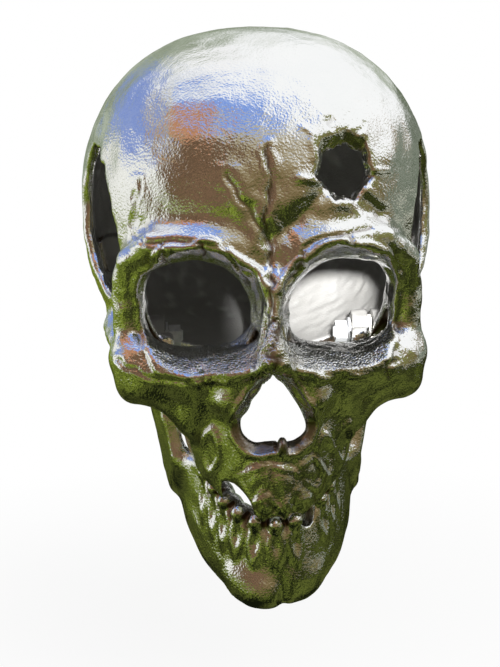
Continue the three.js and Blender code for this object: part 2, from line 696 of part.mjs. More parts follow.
function makeFaceShell() {
  const browZ = orbitHalf[1] + 3 * BROW_RADIUS;
  const behind = seamY + 2 * FACE_CELL;
  const upperLow = [-reachX, frontY, browZ - 2 * VAULT_CELL];
  const upper = netOf(cranium, upperLow, [reachX, behind, topZ], VAULT_CELL);
  const lowerHigh = [reachX, behind, browZ + 3 * FACE_CELL];
  const lower = netOf(cranium, [-reachX, frontY, lowZ], lowerHigh, FACE_CELL);
  const aboveBrow = box([-2 * reachX, 2 * frontY, browZ - SEAT_GAP], [2 * reachX, padY, 2 * topZ]);
  const belowBrow = box([-2 * reachX, 2 * frontY, 2 * lowZ], [2 * reachX, padY, browZ]);
  const outside = lower.intersect(belowBrow).add(upper.intersect(aboveBrow));
  let body = outside.subtract(hollowBody).subtract(baseOpening);
  body = body.subtract(noseOpening).subtract(foreheadHole());
  body = body.intersect(box([-2 * reachX, 2 * frontY, 2 * lowZ], [2 * reachX, faceSeamY, 2 * topZ]));
  for (const [, side] of sides) {
    body = body.subtract(templeOpening(side));
    body = body.add(rod('x', side, wallAtPivot, boltSeatX, BOSS_RADIUS, pivotAcross, 20));
    body = body.subtract(rod('x', side, boltSeatX, reachX, BOLT_HEAD_RADIUS + SEAT_GAP, pivotAcross, 20));
    body = body.subtract(rod('x', side, ramusInnerX, reachX, BOLT_RADIUS + SEAT_GAP, pivotAcross, 14));
  }
  for (const [, across] of lugs) {
    body = body.add(rod('y', 1, faceSeamY - LUG_FRONT_LENGTH, faceSeamY, lugRadius, across, 16));
  }
  for (const [, across] of lugs) {
    const end = faceSeamY - SCREW_REACH - 1;
    body = body.subtract(rod('y', 1, end, seamY + 9, SCREW_RADIUS + SEAT_GAP, across, 10));
  }
  body = withTeeth(body, upperCurve, MISSING_UPPER, (x, y, turn) =>
    tooth(x, y, gumLine(y) + UPPER_TOOTH_HEIGHT / 2 - UPPER_TOOTH_SHOWS, turn, UPPER_TOOTH_HEIGHT));
  return body.subtract(emptySocket());
}

const hangerAcross = [0, VAULT_RISE + HANGER_RISE];
const hangerScrewX = HANGER_LENGTH / 2 - 6;
const hangerScrewAcross = (side) => [side * hangerScrewX, hangerAcross[1]];

function makeRearShell() {
  const low = [-reachX, seamY - 2 * VAULT_CELL, lowZ];
  const outside = netOf(cranium, low, [reachX, padY + 20, topZ], VAULT_CELL);
  let body = outside.subtract(hollowBody).subtract(baseOpening);
  body = body.intersect(box([-2 * reachX, rearSeamY, 2 * lowZ], [2 * reachX, padY, 2 * topZ]));
  for (const [, across] of lugs) {
    body = body.add(rod('y', 1, rearSeamY, rearSeamY + LUG_REAR_LENGTH, lugRadius, across, 16));
  }
  for (const [, across] of lugs) {
    body = body.subtract(rod('y', 1, seamY - 9, seamY + 30, SCREW_RADIUS + SEAT_GAP, across, 10));
  }
  const pocketHalf = [HANGER_LENGTH / 2 + SEAT_GAP, HANGER_HEIGHT / 2 + SEAT_GAP];
  const pocket = roundedOutline(hangerAcross, pocketHalf, pocketHalf[1] - 0.1, 4);
  body = body.subtract(drawnAlongY(pocket, padY - HANGER_THICKNESS - SEAT_GAP, padY + 5));
  const hookHalf = [KEYHOLE_RADIUS + 1, HANGER_HEIGHT / 2 - 0.5];
  const hookRoom = roundedOutline(hangerAcross, hookHalf, KEYHOLE_RADIUS, 3);
  body = body.subtract(drawnAlongY(hookRoom, padY - 3 * PAD_WALL, padY));
  for (const [, side] of sides) {
    const across = hangerScrewAcross(side);
    const radius = HANGER_SCREW_RADIUS + SEAT_GAP;
    body = body.subtract(rod('y', 1, padY - 3 * PAD_WALL, padY, radius, across, 10));
  }
  return body;
}

function makeMandible() {
  const low = [-ramusOuterX - 12, jawFrontY - 25, CHIN_BOTTOM - 12];
  const high = [ramusOuterX + 12, PIVOT_BACK + 25, PIVOT_DROP + 25];
  let body = netOf(lowerJaw, low, high, JAW_CELL);
  for (const [, side] of sides) {
    body = body.add(rod('x', side, ramusInnerX, ramusOuterX, PIVOT_EYE_RADIUS, pivotAcross, 24));
  }
  for (const [, side] of sides) {
    const room = PIVOT_EYE_RADIUS + 2;
    body = body.subtract(rod('x', side, ramusOuterX, ramusOuterX + 9, room, pivotAcross, 24));
    body = body.subtract(rod('x', side, ramusInnerX - 9, ramusInnerX, room, pivotAcross, 24));
    body = body.subtract(rod('x', side, boltEndX, boltSeatX, bushRadius + SEAT_GAP, pivotAcross, 16));
  }
  return withTeeth(body, lowerCurve, MISSING_LOWER, (x, archY, turn) => {
    const y = archY - JAW_LEAN * (lowerTop(archY) - CHIN_BOTTOM);
    const middle = lowerTop(y) + LOWER_TOOTH_SHOWS - LOWER_TOOTH_HEIGHT / 2;
    return tooth(x, y, middle, turn, LOWER_TOOTH_HEIGHT);
  });
}

// Pivot hardware, given for the positive side.
function makeBolt(side) {
  const under = boltSeatX + SEAT_GAP;
  const profile = [
    [0, boltEndX],
    [BOLT_RADIUS - 0.5, boltEndX],
    [BOLT_RADIUS, boltEndX + 0.6],
    [BOLT_RADIUS, under],
    [BOLT_HEAD_RADIUS, under],
    [BOLT_HEAD_RADIUS, under + BOLT_HEAD_HEIGHT / 3],
    [0.62 * BOLT_HEAD_RADIUS, under + BOLT_HEAD_HEIGHT],
    [0, under + BOLT_HEAD_HEIGHT],
  ];
  const keyFloor = under + BOLT_HEAD_HEIGHT / 3;
  const key = rod('x', side, keyFloor, under + 9, 0.3 * BOLT_HEAD_RADIUS, pivotAcross, 6);
  return turned('x', side, profile, pivotAcross, 20).subtract(key);
}

function makeBush(side) {
  const flange = ramusOuterX + SEAT_GAP;
  const profile = [
    [bushBore, ramusInnerX],
    [bushRadius, ramusInnerX],
    [bushRadius, flange],
    [BUSH_FLANGE_RADIUS, flange],
    [BUSH_FLANGE_RADIUS, flange + BUSH_WALL],
    [bushBore, flange + BUSH_WALL],
    [bushBore, ramusInnerX],
  ];
  return turned('x', side, profile, pivotAcross, 20);
}

const ring = (side, from, to, radius, count) =>
  rod('x', side, from, to, radius, pivotAcross, count)
    .subtract(rod('x', side, from - 1, to + 1, BOLT_RADIUS + SEAT_GAP, pivotAcross, 14));

function makeShellScrew(across) {
  const under = rearSeamY + LUG_REAR_LENGTH + SEAT_GAP;
  const profile = [
    [0, faceSeamY - SCREW_REACH],
    [SCREW_RADIUS, faceSeamY - SCREW_REACH],
    [SCREW_RADIUS, under],
    [SCREW_HEAD_RADIUS, under],
    [SCREW_HEAD_RADIUS, under + SCREW_HEAD_HEIGHT],
    [0, under + SCREW_HEAD_HEIGHT],
  ];
  const key = rod('y', 1, under + SCREW_HEAD_HEIGHT / 2, under + 9, 0.5 * SCREW_HEAD_RADIUS, across, 6);
  return turned('y', 1, profile, across, 14).subtract(key);
}

const sunkHead = HANGER_SCREW_RADIUS + HANGER_THICKNESS;

function makeHangerPlate() {
  const half = [HANGER_LENGTH / 2, HANGER_HEIGHT / 2];
  const inner = padY - HANGER_THICKNESS;
  let plate = drawnAlongY(roundedOutline(hangerAcross, half, half[1] - 0.1, 4), inner, padY);
  const keyZ = hangerAcross[1] - 1.5;
  const slotHalf = [KEYHOLE_SLOT, HANGER_HEIGHT / 4];
  const slot = roundedOutline([0, keyZ + HANGER_HEIGHT / 4], slotHalf, KEYHOLE_SLOT - 0.1, 3);
  plate = plate.subtract(rod('y', 1, inner - 1, padY + 1, KEYHOLE_RADIUS, [0, keyZ], 18));
  plate = plate.subtract(drawnAlongY(slot, inner - 1, padY + 1));
  for (const [, side] of sides) {
    const profile = [
      [0, inner - 1],
      [HANGER_SCREW_RADIUS + SEAT_GAP, inner - 1],
      [HANGER_SCREW_RADIUS + SEAT_GAP, inner],
      [sunkHead + SEAT_GAP, padY],
      [sunkHead + SEAT_GAP, padY + 1],
      [0, padY + 1],
    ];
    plate = plate.subtract(turned('y', 1, profile, hangerScrewAcross(side), 14));
  }
  return plate;
}

function makeHangerScrew(side) {
  const profile = [
    [0, padY - HANGER_THICKNESS - HANGER_SCREW_REACH],
    [HANGER_SCREW_RADIUS, padY - HANGER_THICKNESS - HANGER_SCREW_REACH],
    [HANGER_SCREW_RADIUS, padY - HANGER_THICKNESS],
    [sunkHead, padY],
    [0, padY],
  ];
  const middle = side * hangerScrewX;
  const slot = box([middle - 0.4, padY - 0.6, 0], [middle + 0.4, padY + 1, 2 * hangerAcross[1]]);
  return turned('y', 1, profile, hangerScrewAcross(side), 14).subtract(slot);
}

const castMetal = new THREE.MeshStandardMaterial({ color: 0xd4d4d0, metalness: 1, roughness: 0.15 });
const steel = new THREE.MeshStandardMaterial({ color: 0xb0b2b4, metalness: 1, roughness: 0.3 });
const nylon = new THREE.MeshStandardMaterial({ color: 0xe6e2d6, metalness: 0, roughness: 0.6 });

const group = new THREE.Group();
group.add(meshOf('face_shell', makeFaceShell(), castMetal));
group.add(meshOf('rear_shell', makeRearShell(), castMetal));
group.add(meshOf('mandible', makeMandible(), castMetal));
group.add(meshOf('hanger_plate', makeHangerPlate(), steel));
for (const [place, across] of lugs) {
  group.add(meshOf(`shell_screw_${place}`, makeShellScrew(across), steel));
}
for (const [name, side] of sides) {
  const washer = ring(side, washerX - WASHER_THICKNESS, washerX, WASHER_RADIUS, 18);
  const nut = ring(side, nutX - NUT_HEIGHT, nutX, NUT_RADIUS, 6);
  group.add(meshOf(`hanger_screw_${name}`, makeHangerScrew(side), steel));
  group.add(meshOf(`pivot_bolt_${name}`, makeBolt(side), steel));
  group.add(meshOf(`pivot_bush_${name}`, makeBush(side), nylon));
  group.add(meshOf(`pivot_washer_${name}`, washer, steel));
  group.add(meshOf(`pivot_nut_${name}`, nut, steel));
}
for (const mesh of group.children) mesh.geometry.translate(0, -padY, -VAULT_RISE);

export default group;
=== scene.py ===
# A life-size cast-metal skull with a hinged jaw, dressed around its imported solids.
# Shapes are worked out in millimetres with the eye line at z 0 and the middle of the vault at y 0.
# They become metres in the frame of the solids when a mesh is made.
import math

import bpy
import numpy as np
from mathutils import Matrix, Vector


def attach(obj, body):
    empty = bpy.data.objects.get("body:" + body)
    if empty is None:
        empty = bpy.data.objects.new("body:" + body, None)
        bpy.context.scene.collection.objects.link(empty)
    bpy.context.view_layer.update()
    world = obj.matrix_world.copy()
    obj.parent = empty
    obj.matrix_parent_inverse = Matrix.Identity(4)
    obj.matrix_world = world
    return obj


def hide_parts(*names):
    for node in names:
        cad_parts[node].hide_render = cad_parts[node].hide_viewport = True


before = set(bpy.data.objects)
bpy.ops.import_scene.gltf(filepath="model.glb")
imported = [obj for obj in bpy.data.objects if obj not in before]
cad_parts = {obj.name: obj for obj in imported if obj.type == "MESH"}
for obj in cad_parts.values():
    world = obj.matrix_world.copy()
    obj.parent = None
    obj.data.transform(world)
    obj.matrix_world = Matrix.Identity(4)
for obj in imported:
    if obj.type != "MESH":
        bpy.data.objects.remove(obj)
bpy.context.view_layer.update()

# Vault of the cranium
VAULT_RADII = (73, 90, 73.5)
VAULT_RISE = 33
VAULT_SQUARENESS = 2.28
WALL = 4.5
SEAM_Y = 5
PAD_Y = 87
PAD_WALL = 6

# Jaw pivot
PIVOT_Y = -8
PIVOT_Z = -22
PIVOT_EYE_RADIUS = 9
PIVOT_ROOM = PIVOT_EYE_RADIUS + 2
BOSS_RADIUS = 9.5
BOSS_LENGTH = 9
BOLT_RADIUS = 2.5
BOLT_HEAD_RADIUS = 5
BUSH_WALL = 1.2
SEAT_GAP = 0.3
BUSH_BORE = BOLT_RADIUS + BUSH_WALL + 2 * SEAT_GAP


def vault_half_width(y, z):
    """Half the width of the vault at y behind its middle and z above the eye line."""
    n = VAULT_SQUARENESS
    used = abs(y / VAULT_RADII[1]) ** n + abs((z - VAULT_RISE) / VAULT_RADII[2]) ** n
    return VAULT_RADII[0] * max(0, 1 - used) ** (1 / n)


WALL_AT_PIVOT = vault_half_width(PIVOT_Y, PIVOT_Z) - WALL
BOLT_SEAT_X = WALL_AT_PIVOT + BOSS_LENGTH
BOLT_BORE_X = (40, 90)
EAR_SWELL = ((WALL_AT_PIVOT + 4, PIVOT_Y, PIVOT_Z + 2), (11, 13, 12))
BEHIND_EAR_SWELL = ((WALL_AT_PIVOT, PIVOT_Y + 27, PIVOT_Z - 8), (11, 13, 15))

# Eye openings and the lips round them
RIM_Y = -88
ORBIT_X = 27
ORBIT_HALF = (19.5, 18)
ORBIT_TURN = 0.12
ORBIT_SQUARENESS = 3.2
ORBIT_CORNER = 17.5
ORBIT_FLARE = 0.26
ORBIT_FLARE_Y = (RIM_Y + 6, RIM_Y - 6)
ORBIT_DEPTH = 55
LIP_AWAY = 2.5
LIP_WANDER = 0.6
LIP_RADIUS = 1.5
LIP_DEPTH = 20

# Upper jaw, with its widths and depths at its root and at the gum line
UPPER_FRONT = -95
UPPER_TOP = -18
UPPER_ROOT = -25
UPPER_GUM_LINE = -80.5
PALATE_X = 30
PALATE_BACK = -39
UPPER_HALF_WIDTHS = (PALATE_X + 10, PALATE_X - 3)
UPPER_HALF_DEPTHS = (30, 33)
UPPER_MIDDLES = (32, 33)
BITE_SLOPE = 0.66
MOUTH_WALL = WALL + 0.5
MOUTH_TOP = -27
MOUTH_BACK = PALATE_BACK + 12

# Nose opening
NOSE_TOP = -25
NOSE_BOTTOM = -51
NOSE_TIP_RADIUS = 1.2
NOSE_LOBE = (5.2, 7.3)
NOSE_WANDER = 0.4
NOSE_FLARE = 3.5
NOSE_FLARE_Y = (UPPER_FRONT + 5.5, UPPER_FRONT)
NOSE_DEPTH = 22
NOSE_CREST_AWAY = NOSE_FLARE + 0.8
NOSE_CREST_RADIUS = 1
NOSE_CREST_DEPTH = 12
NOSE_SPINE = ((2.9, UPPER_FRONT + 1, NOSE_BOTTOM - 0.8), (2, 3.5, 3.6))

# Cheekbones
CHEEK_X = 60
CHEEK_TOP = 4 - ORBIT_HALF[1]
CHEEK_BOTTOM = -38.5
CHEEK_HALF = (12.5, 12, (CHEEK_TOP - CHEEK_BOTTOM) / 2)
CHEEK_MIDDLE = (CHEEK_X - CHEEK_HALF[0], RIM_Y + 19, (CHEEK_BOTTOM + CHEEK_TOP) / 2)
CHEEK_CORNER = 9

# Openings in the temples and in the base
TEMPLE_HALF = (20, 31)
TEMPLE_PLACE = (-38, 29)
TEMPLE_LEAN = 0.3
BASE_FRONT = RIM_Y + 30
BASE_LENGTH = 80
BASE_HALF_WIDTH = WALL_AT_PIVOT + 3.5
BASE_CORNER = 30
BASE_TOP = PIVOT_Z + 8
EDGE_WANDER = 0.5

# Hole in the forehead: each of its sides has a distance from the middle and the width of its facet
HOLE_SIDE = 28
HOLE_RISE = 50
HOLE_RADII = (8.4, 8.8, 7.6, 7.8, 7.2, 9, 8)
HOLE_BEVELS = (3.5, 6.5, 7, 3.5, 2.5, 2.5, 3)
HOLE_DEPTH = 4
HOLE_TURN = 0.2
HOLE_NICKS = 0.25
HOLE_BACK = -50

# Lower jaw
CHIN_BOTTOM = -117
JAW_SPREAD = 30.5
JAW_THICKNESS = 11
JAW_EDGE_RADIUS = 5.2
JAW_LEAN = 0.12
JAW_FRONT = -91
JAW_BACK = -20
JAW_REACH = JAW_BACK - JAW_FRONT - JAW_THICKNESS / 2
JAW_OVERRUN = 4
JAW_TOP = -81.8
JAW_TOP_RISE = 20
JAW_TOP_FALL = 0.3
JAW_TOP_THICKNESS = 7
JAW_TAPER = 4
JAW_TAPER_HEIGHT = 24
JAW_TAPER_Y = (-45, -65)
JAW_ANGLE_Z = -79
CHIN_SWELL = ((0, JAW_FRONT + 8, CHIN_BOTTOM + 11), (18, 7, 11))

# Branches of the lower jaw
RAMUS_THICKNESS = 7
RAMUS_FLARE = 0.15
RAMUS_TILT = 0.2
RAMUS_BEND = 28
RAMUS_OUTER = WALL_AT_PIVOT - BUSH_WALL - 2 * SEAT_GAP
RAMUS_INNER = RAMUS_OUTER - RAMUS_THICKNESS
RAMUS_LOW = JAW_ANGLE_Z + 10
RAMUS_BACK_BAR = [(0, PIVOT_Y, PIVOT_Z, PIVOT_EYE_RADIUS), (0, PIVOT_Y - 7, RAMUS_LOW, 10)]
RAMUS_FRONT_BAR = [(0, PIVOT_Y - 30, PIVOT_Z + 2, 4), (0, PIVOT_Y - 33, RAMUS_LOW + 4, 9)]
RAMUS_WEB = [(0, PIVOT_Y - 15, PIVOT_Z - 22, 10), (0, PIVOT_Y - 22, RAMUS_LOW, 13)]
FREE_INNER = RAMUS_INNER - 15
FREE_OUTER = RAMUS_OUTER + 20

# The castings are meshed in cells of this size, inside these boxes
CELL = 1.0
REAR_CELL = 1.5 * CELL
FACE_BOX = ((-82, -112, -95), (82, 9, 114))
REAR_BOX = ((-82, 1, -60), (82, 91, 114))
JAW_BOX = ((-60, -110, -121), (60, 8, -5))

# The frame of the solids, from the frame that the shapes are worked out in
SHIFT = np.array([0.0, -PAD_Y, -VAULT_RISE])


# Distance fields: negative inside, in millimetres near the surface
def smooth_min(a, b, blend):
    """Two fields joined, running into each other over a distance."""
    near = np.maximum(blend - np.abs(a - b), 0) / blend
    return np.minimum(a, b) - near * near * blend / 4


def smooth_max(a, b, blend):
    """What two fields share, with the edge between them rounded over a distance."""
    return -smooth_min(-a, -b, blend)


def mix(a, b, t):
    return a + (b - a) * t


def length(*parts):
    return np.sqrt(sum(p * p for p in parts))


def ramp(value, start, end):
    """Nought at a start, one at an end, and a straight rise between them."""
    return np.clip((value - start) / (end - start), 0, 1)


def turned(across, up, angle):
    """A place in a plane, measured along axes that are turned by an angle."""
    c, s = math.cos(angle), math.sin(angle)
    return across * c - up * s, up * c + across * s


def waves(x, y, z, size, count, seed):
    """A smooth uneven pattern about as strong as one sine wave, with bumps of about a size."""
    draw = np.random.default_rng(seed)
    total = 0
    for _ in range(count):
        run = draw.normal(size=3)
        run *= 2 * math.pi / (size * np.linalg.norm(run)) * draw.uniform(0.7, 1.4)
        a, b, c = (float(v) for v in run)
        total = total + np.sin(a * x + b * y + c * z + float(draw.uniform(0, 2 * math.pi)))
    return total / math.sqrt(count)


def vault(x, y, z, inset):
    rx, ry, rz = (r - inset for r in VAULT_RADII)
    n = VAULT_SQUARENESS
    level = np.abs(x / rx) ** n + np.abs(y / ry) ** n + np.abs((z - VAULT_RISE) / rz) ** n
    return (level ** (1 / n) - 1) * rx


def ellipsoid(x, y, z, centre, radii):
    u = (x - centre[0]) / radii[0]
    v = (y - centre[1]) / radii[1]
    w = (z - centre[2]) / radii[2]
    level = length(u, v, w)
    slope = length(u / radii[0], v / radii[1], w / radii[2])
    return level * (level - 1) / np.maximum(slope, 1e-6)


def bars(x, y, z, points):
    """A bar with round ends through a row of points, each with its radius as the fourth value."""
    best = np.inf
    for a, b in zip(points[:-1], points[1:]):
        d = [b[i] - a[i] for i in range(3)]
        p = (x - a[0], y - a[1], z - a[2])
        along = (p[0] * d[0] + p[1] * d[1] + p[2] * d[2]) / sum(c * c for c in d)
        t = np.clip(along, 0, 1)
        gap = length(p[0] - t * d[0], p[1] - t * d[1], p[2] - t * d[2])
        best = np.minimum(best, gap - mix(a[3], b[3], t))
    return best


def past_sides(*gaps):
    """How far a point is outside a box, from how far it is past each pair of its sides."""
    return length(*(np.maximum(g, 0) for g in gaps)) + np.minimum(np.maximum.reduce(gaps), 0)


def round_box(x, y, z, centre, half, radius):
    gaps = [np.abs(v - c) - h + radius for v, c, h in zip((x, y, z), centre, half)]
    return past_sides(*gaps) - radius


def rod(x, y, z, from_x, to_x, radius):
    """A round bar along X at the pivot, on the positive side."""
    ends = np.abs(x - (from_x + to_x) / 2) - (to_x - from_x) / 2
    return np.maximum(length(y - PIVOT_Y, z - PIVOT_Z) - radius, ends)


# Lines of the face on the positive side; the other side mirrors them
BROW = [
    (8, RIM_Y + 2, 16.5, 5),
    (ORBIT_X / 2, RIM_Y + 1.5, 21.5, 4.8),
    (ORBIT_X, RIM_Y + 1.5, 24, 4.8),
    (44, RIM_Y + 7, 23.5, 4.8),
    (53, RIM_Y + 14.5, 17, 5),
    (CHEEK_X - 5.5, RIM_Y + 20, 4, 5.8),
    (CHEEK_X - 6.5, RIM_Y + 20, -18, 5.8),
]
LOWER_RIM = [
    (CHEEK_X - 6.5, RIM_Y + 18, -19, 5.8),
    (46, RIM_Y + 9, -24, 4),
    (ORBIT_X, RIM_Y + 1.5, -24.5, 3.6),
    (13, RIM_Y + 0.5, -21, 4),
]
CHEEK_ROOT = [
    (CHEEK_X - 17, RIM_Y + 15, CHEEK_BOTTOM + 10, 8),
    (PALATE_X + 1, RIM_Y + 12, CHEEK_BOTTOM - 6, 6),
    (ORBIT_X, RIM_Y + 8, CHEEK_BOTTOM + 6, 8),
    (CHEEK_X - 21, RIM_Y + 13, CHEEK_BOTTOM + 12, 9),
]
NOSE_RIDGE = [(0, RIM_Y - 1, 9, 6.5), (0, RIM_Y - 6, -9, 6), (0, RIM_Y - 10, NOSE_TOP + 3, 5.5)]
NOSE_SIDE = [(8, RIM_Y + 2, 5, 5), (11, RIM_Y - 1, -15, 5), (16.5, RIM_Y - 2, NOSE_TOP - 9, 5)]
CHEEK_ARCH = [
    (CHEEK_X - 5, RIM_Y + 26, -21, 5.5),
    (CHEEK_X - 1, RIM_Y + 52, -13, 5.5),
    (WALL_AT_PIVOT + 7, PIVOT_Y - 6, -11, 5.5),
]
# Each line with the distance over which it runs into the rest
FACE_LINES = [
    (BROW, 8), (LOWER_RIM, 5), (CHEEK_ROOT, 10), (NOSE_RIDGE, 5), (NOSE_SIDE, 5), (CHEEK_ARCH, 6),
]


def gum_line(y):
    """How low the upper gum comes; the bite slopes up towards the back."""
    return UPPER_GUM_LINE + (y - UPPER_FRONT) * BITE_SLOPE


def upper_jaw(x, y, z, inset):
    t = ramp(z, UPPER_ROOT, UPPER_GUM_LINE)
    half_width = mix(*UPPER_HALF_WIDTHS, t) - inset
    half_depth = mix(*UPPER_HALF_DEPTHS, t) - inset
    behind = np.minimum(0, y - UPPER_FRONT - mix(*UPPER_MIDDLES, t))
    return (length(x / half_width, behind / half_depth) - 1) * np.minimum(half_width, half_depth)


def orbit(x, y, z):
    """An eye opening: a rounded square, cut across its upper inner corner, that widens to the front."""
    n = ORBIT_SQUARENESS
    wide = 1 + ORBIT_FLARE * ramp(y, *ORBIT_FLARE_Y)
    across, up = turned(x - ORBIT_X, z, ORBIT_TURN)
    level = np.abs(across / (ORBIT_HALF[0] * wide)) ** n + np.abs(up / (ORBIT_HALF[1] * wide)) ** n
    side = (level ** (1 / n) - 1) * ORBIT_HALF[1]
    corner = (up - across) * math.sqrt(0.5) - ORBIT_CORNER * wide
    return smooth_max(smooth_max(side, corner, blend=6), y - RIM_Y - ORBIT_DEPTH, blend=8)


def outside(x, y, z):
    """The cranium and face as one solid, for x at or above 0."""
    d = vault(x, y, z, inset=0)
    for line, blend in FACE_LINES:
        d = smooth_min(d, bars(x, y, z, line), blend)
    d = smooth_min(d, round_box(x, y, z, CHEEK_MIDDLE, CHEEK_HALF, CHEEK_CORNER), blend=6)
    muzzle = smooth_max(upper_jaw(x, y, z, inset=0), gum_line(y) - z, blend=3)
    muzzle = smooth_max(muzzle, z - UPPER_TOP, blend=6)
    muzzle = smooth_max(muzzle, y - PALATE_BACK, blend=4)
    d = smooth_min(d, muzzle, blend=6)
    d = smooth_min(d, ellipsoid(x, y, z, *EAR_SWELL), blend=5)
    d = smooth_min(d, ellipsoid(x, y, z, *BEHIND_EAR_SWELL), blend=8)
    return smooth_max(d, -orbit(x, y, z), blend=2.5)


def hollow(x, y, z):
    """The room inside the head and behind the upper teeth."""
    brain = smooth_max(vault(x, y, z, WALL), y - (PAD_Y - PAD_WALL), blend=3)
    mouth = np.maximum(upper_jaw(x, y, z, MOUTH_WALL), z - MOUTH_TOP)
    mouth = np.maximum(mouth, y - MOUTH_BACK)
    return np.minimum(brain, mouth)


def base_opening(x, y, z):
    middle = BASE_FRONT + BASE_LENGTH / 2
    across = x - BASE_HALF_WIDTH + BASE_CORNER
    along = np.abs(y - middle) - BASE_LENGTH / 2 + BASE_CORNER
    return np.maximum(past_sides(across, along) - BASE_CORNER, z - BASE_TOP)


def temple_opening(x, y, z):
    along, up = turned(y - TEMPLE_PLACE[0], z - TEMPLE_PLACE[1], TEMPLE_LEAN)
    oval = length(along / TEMPLE_HALF[0], up / TEMPLE_HALF[1])
    return np.maximum((oval - 1) * TEMPLE_HALF[0], PALATE_X - x)


def eye_lip(x, y, z, skin):
    wander = LIP_WANDER * waves(x, y, z, size=12, count=6, seed=7)
    lip = length(orbit(np.abs(x), y, z) - LIP_AWAY + wander, skin) - LIP_RADIUS
    return np.maximum(lip, y - RIM_Y - LIP_DEPTH)


def nose_outline(x, z):
    """The spade-shaped outline of the nose opening, for x at or above 0."""
    side, radius = NOSE_LOBE
    tip = (0, 0, NOSE_TOP + NOSE_TIP_RADIUS, NOSE_TIP_RADIUS)
    return bars(x, 0 * x, z, [tip, (side, 0, NOSE_BOTTOM + radius, radius)])


def nose_crest(outline, y, skin):
    crest = length(outline - NOSE_CREST_AWAY, skin) - NOSE_CREST_RADIUS
    return np.maximum(crest, y - UPPER_FRONT - NOSE_CREST_DEPTH)


def nose_opening(outline, y):
    return np.maximum(outline - NOSE_FLARE * ramp(y, *NOSE_FLARE_Y), y - UPPER_FRONT - NOSE_DEPTH)


def forehead_hole(x, y, z):
    """A many-sided opening in a crater of flat facets."""
    through = -np.inf
    crater = -np.inf
    nicks = HOLE_NICKS * waves(x, y, z, size=5, count=8, seed=8)
    below_skin = -vault(x, y, z, inset=0)
    for i, (radius, bevel) in enumerate(zip(HOLE_RADII, HOLE_BEVELS)):
        angle = 2 * math.pi * (i + HOLE_TURN) / len(HOLE_RADII)
        reach = (x - HOLE_SIDE) * math.cos(angle) + (z - HOLE_RISE) * math.sin(angle) - radius + nicks
        through = np.maximum(through, reach)
        slope = bevel / HOLE_DEPTH
        facet = (reach - bevel + slope * below_skin) / math.hypot(1, slope)
        crater = np.maximum(crater, facet)
    return np.maximum(np.minimum(through, crater), y - HOLE_BACK)


# Teeth: how far along the arch from its middle, height above the gum line or bite, half width, half
# height and how far the tip leans; the roots above them are leaf-shaped swellings of the same kind
UPPER_TEETH = [
    (-36, 6, 3.4, 6, 0), (-29, 7, 3.8, 7, 0), (-21.5, 7, 3.8, 7, 0.1), (-4.4, 7, 4.2, 7.5, 0.05),
    (3.4, 6, 3.4, 6, 0), (10.2, 7, 4.6, 7, -0.1), (18.5, 7, 4, 7, -0.1), (25.5, 7, 3.8, 7, 0),
    (32, 6, 3.6, 6, 0), (38, 6, 3.2, 6, 0),
]
UPPER_ROOTS = [
    (-24, 16, 4.2, 9, 0.25), (-15.5, 17, 4.4, 8, 0.3), (-7, 15, 5, 8, 0.35), (2.6, 13, 5, 9.5, -0.1),
    (12, 16, 4.6, 9, -0.25), (20, 16, 4.2, 9, -0.25), (28, 15, 4, 8, -0.2),
]
LOWER_ROOTS = [(along, -10, 2.6, half_height, lean) for along, half_height, lean in (
    (-34, 7, 0), (-27, 7, 0), (-20.5, 7, 0), (-14, 7, 0.1), (-7, 6.5, 0.1), (0, 6.5, 0), (7, 6.5, -0.1),
    (21, 7, -0.1), (27.5, 7, 0), (34, 7, 0),
)]
LOWER_TEETH = [(along, -3, half_width, 4, lean) for along, half_width, lean in (
    (-35, 3, 0), (-28, 3.2, 0), (-21, 3.2, 0), (-14, 3.2, 0), (-7, 3.3, 0.05), (0, 3.3, 0),
    (7.3, 3.3, -0.05), (20.5, 3.2, 0), (27.5, 3.2, 0), (34.5, 3, 0),
)]
UPPER_TOOTH_SHOWS = 1.5
LOWER_TOOTH_SHOWS = 1.2
UPPER_TOOTH_THICKNESS = 6
LOWER_TOOTH_THICKNESS = 9
ROOT_THICKNESS = 5
LEAF_POINTEDNESS = 1.5
LEAF_EDGE_RADIUS = 1.1
LEAF_EDGE_REACH = 10
EDGED_BEYOND = 18

# The arch of the upper teeth, and the gaps of the missing ones
UPPER_ARCH_HALF = PALATE_X - 4.5
UPPER_ARCH_BACK = UPPER_FRONT + 33
UPPER_ARCH_DEPTH = 31.5
ARCH_STEPS = 400
UPPER_GAP = -14.2
SOCKET_HALF = (3.2, 7)
SOCKET_LEAN = 0.6
SOCKET_FLARE = 0.05
SOCKET_FLARE_FROM = -4
SOCKET_DEPTH = 12
LOWER_GAP = 13.8
LOWER_GAP_SUNK = 1
LOWER_GAP_RADII = (3.4, 7, 6.5)


def upper_tips(y):
    return gum_line(y) - UPPER_TOOTH_SHOWS


def lower_top(y):
    """How high the lower jaw comes: it follows the bite, then falls away behind the teeth."""
    behind = y - JAW_FRONT - JAW_TOP_RISE / BITE_SLOPE
    return JAW_TOP + JAW_TOP_RISE + np.minimum(behind * BITE_SLOPE, -behind * JAW_TOP_FALL)


def lower_tips(y):
    return lower_top(y) + LOWER_TOOTH_SHOWS


def upper_curve(angle):
    return UPPER_ARCH_HALF * math.sin(angle), UPPER_ARCH_BACK - UPPER_ARCH_DEPTH * math.cos(angle)


def lower_curve(angle):
    y = JAW_BACK - JAW_REACH * math.cos(angle)
    return JAW_SPREAD * math.sin(angle), y - JAW_LEAN * (lower_top(y) - CHIN_BOTTOM)


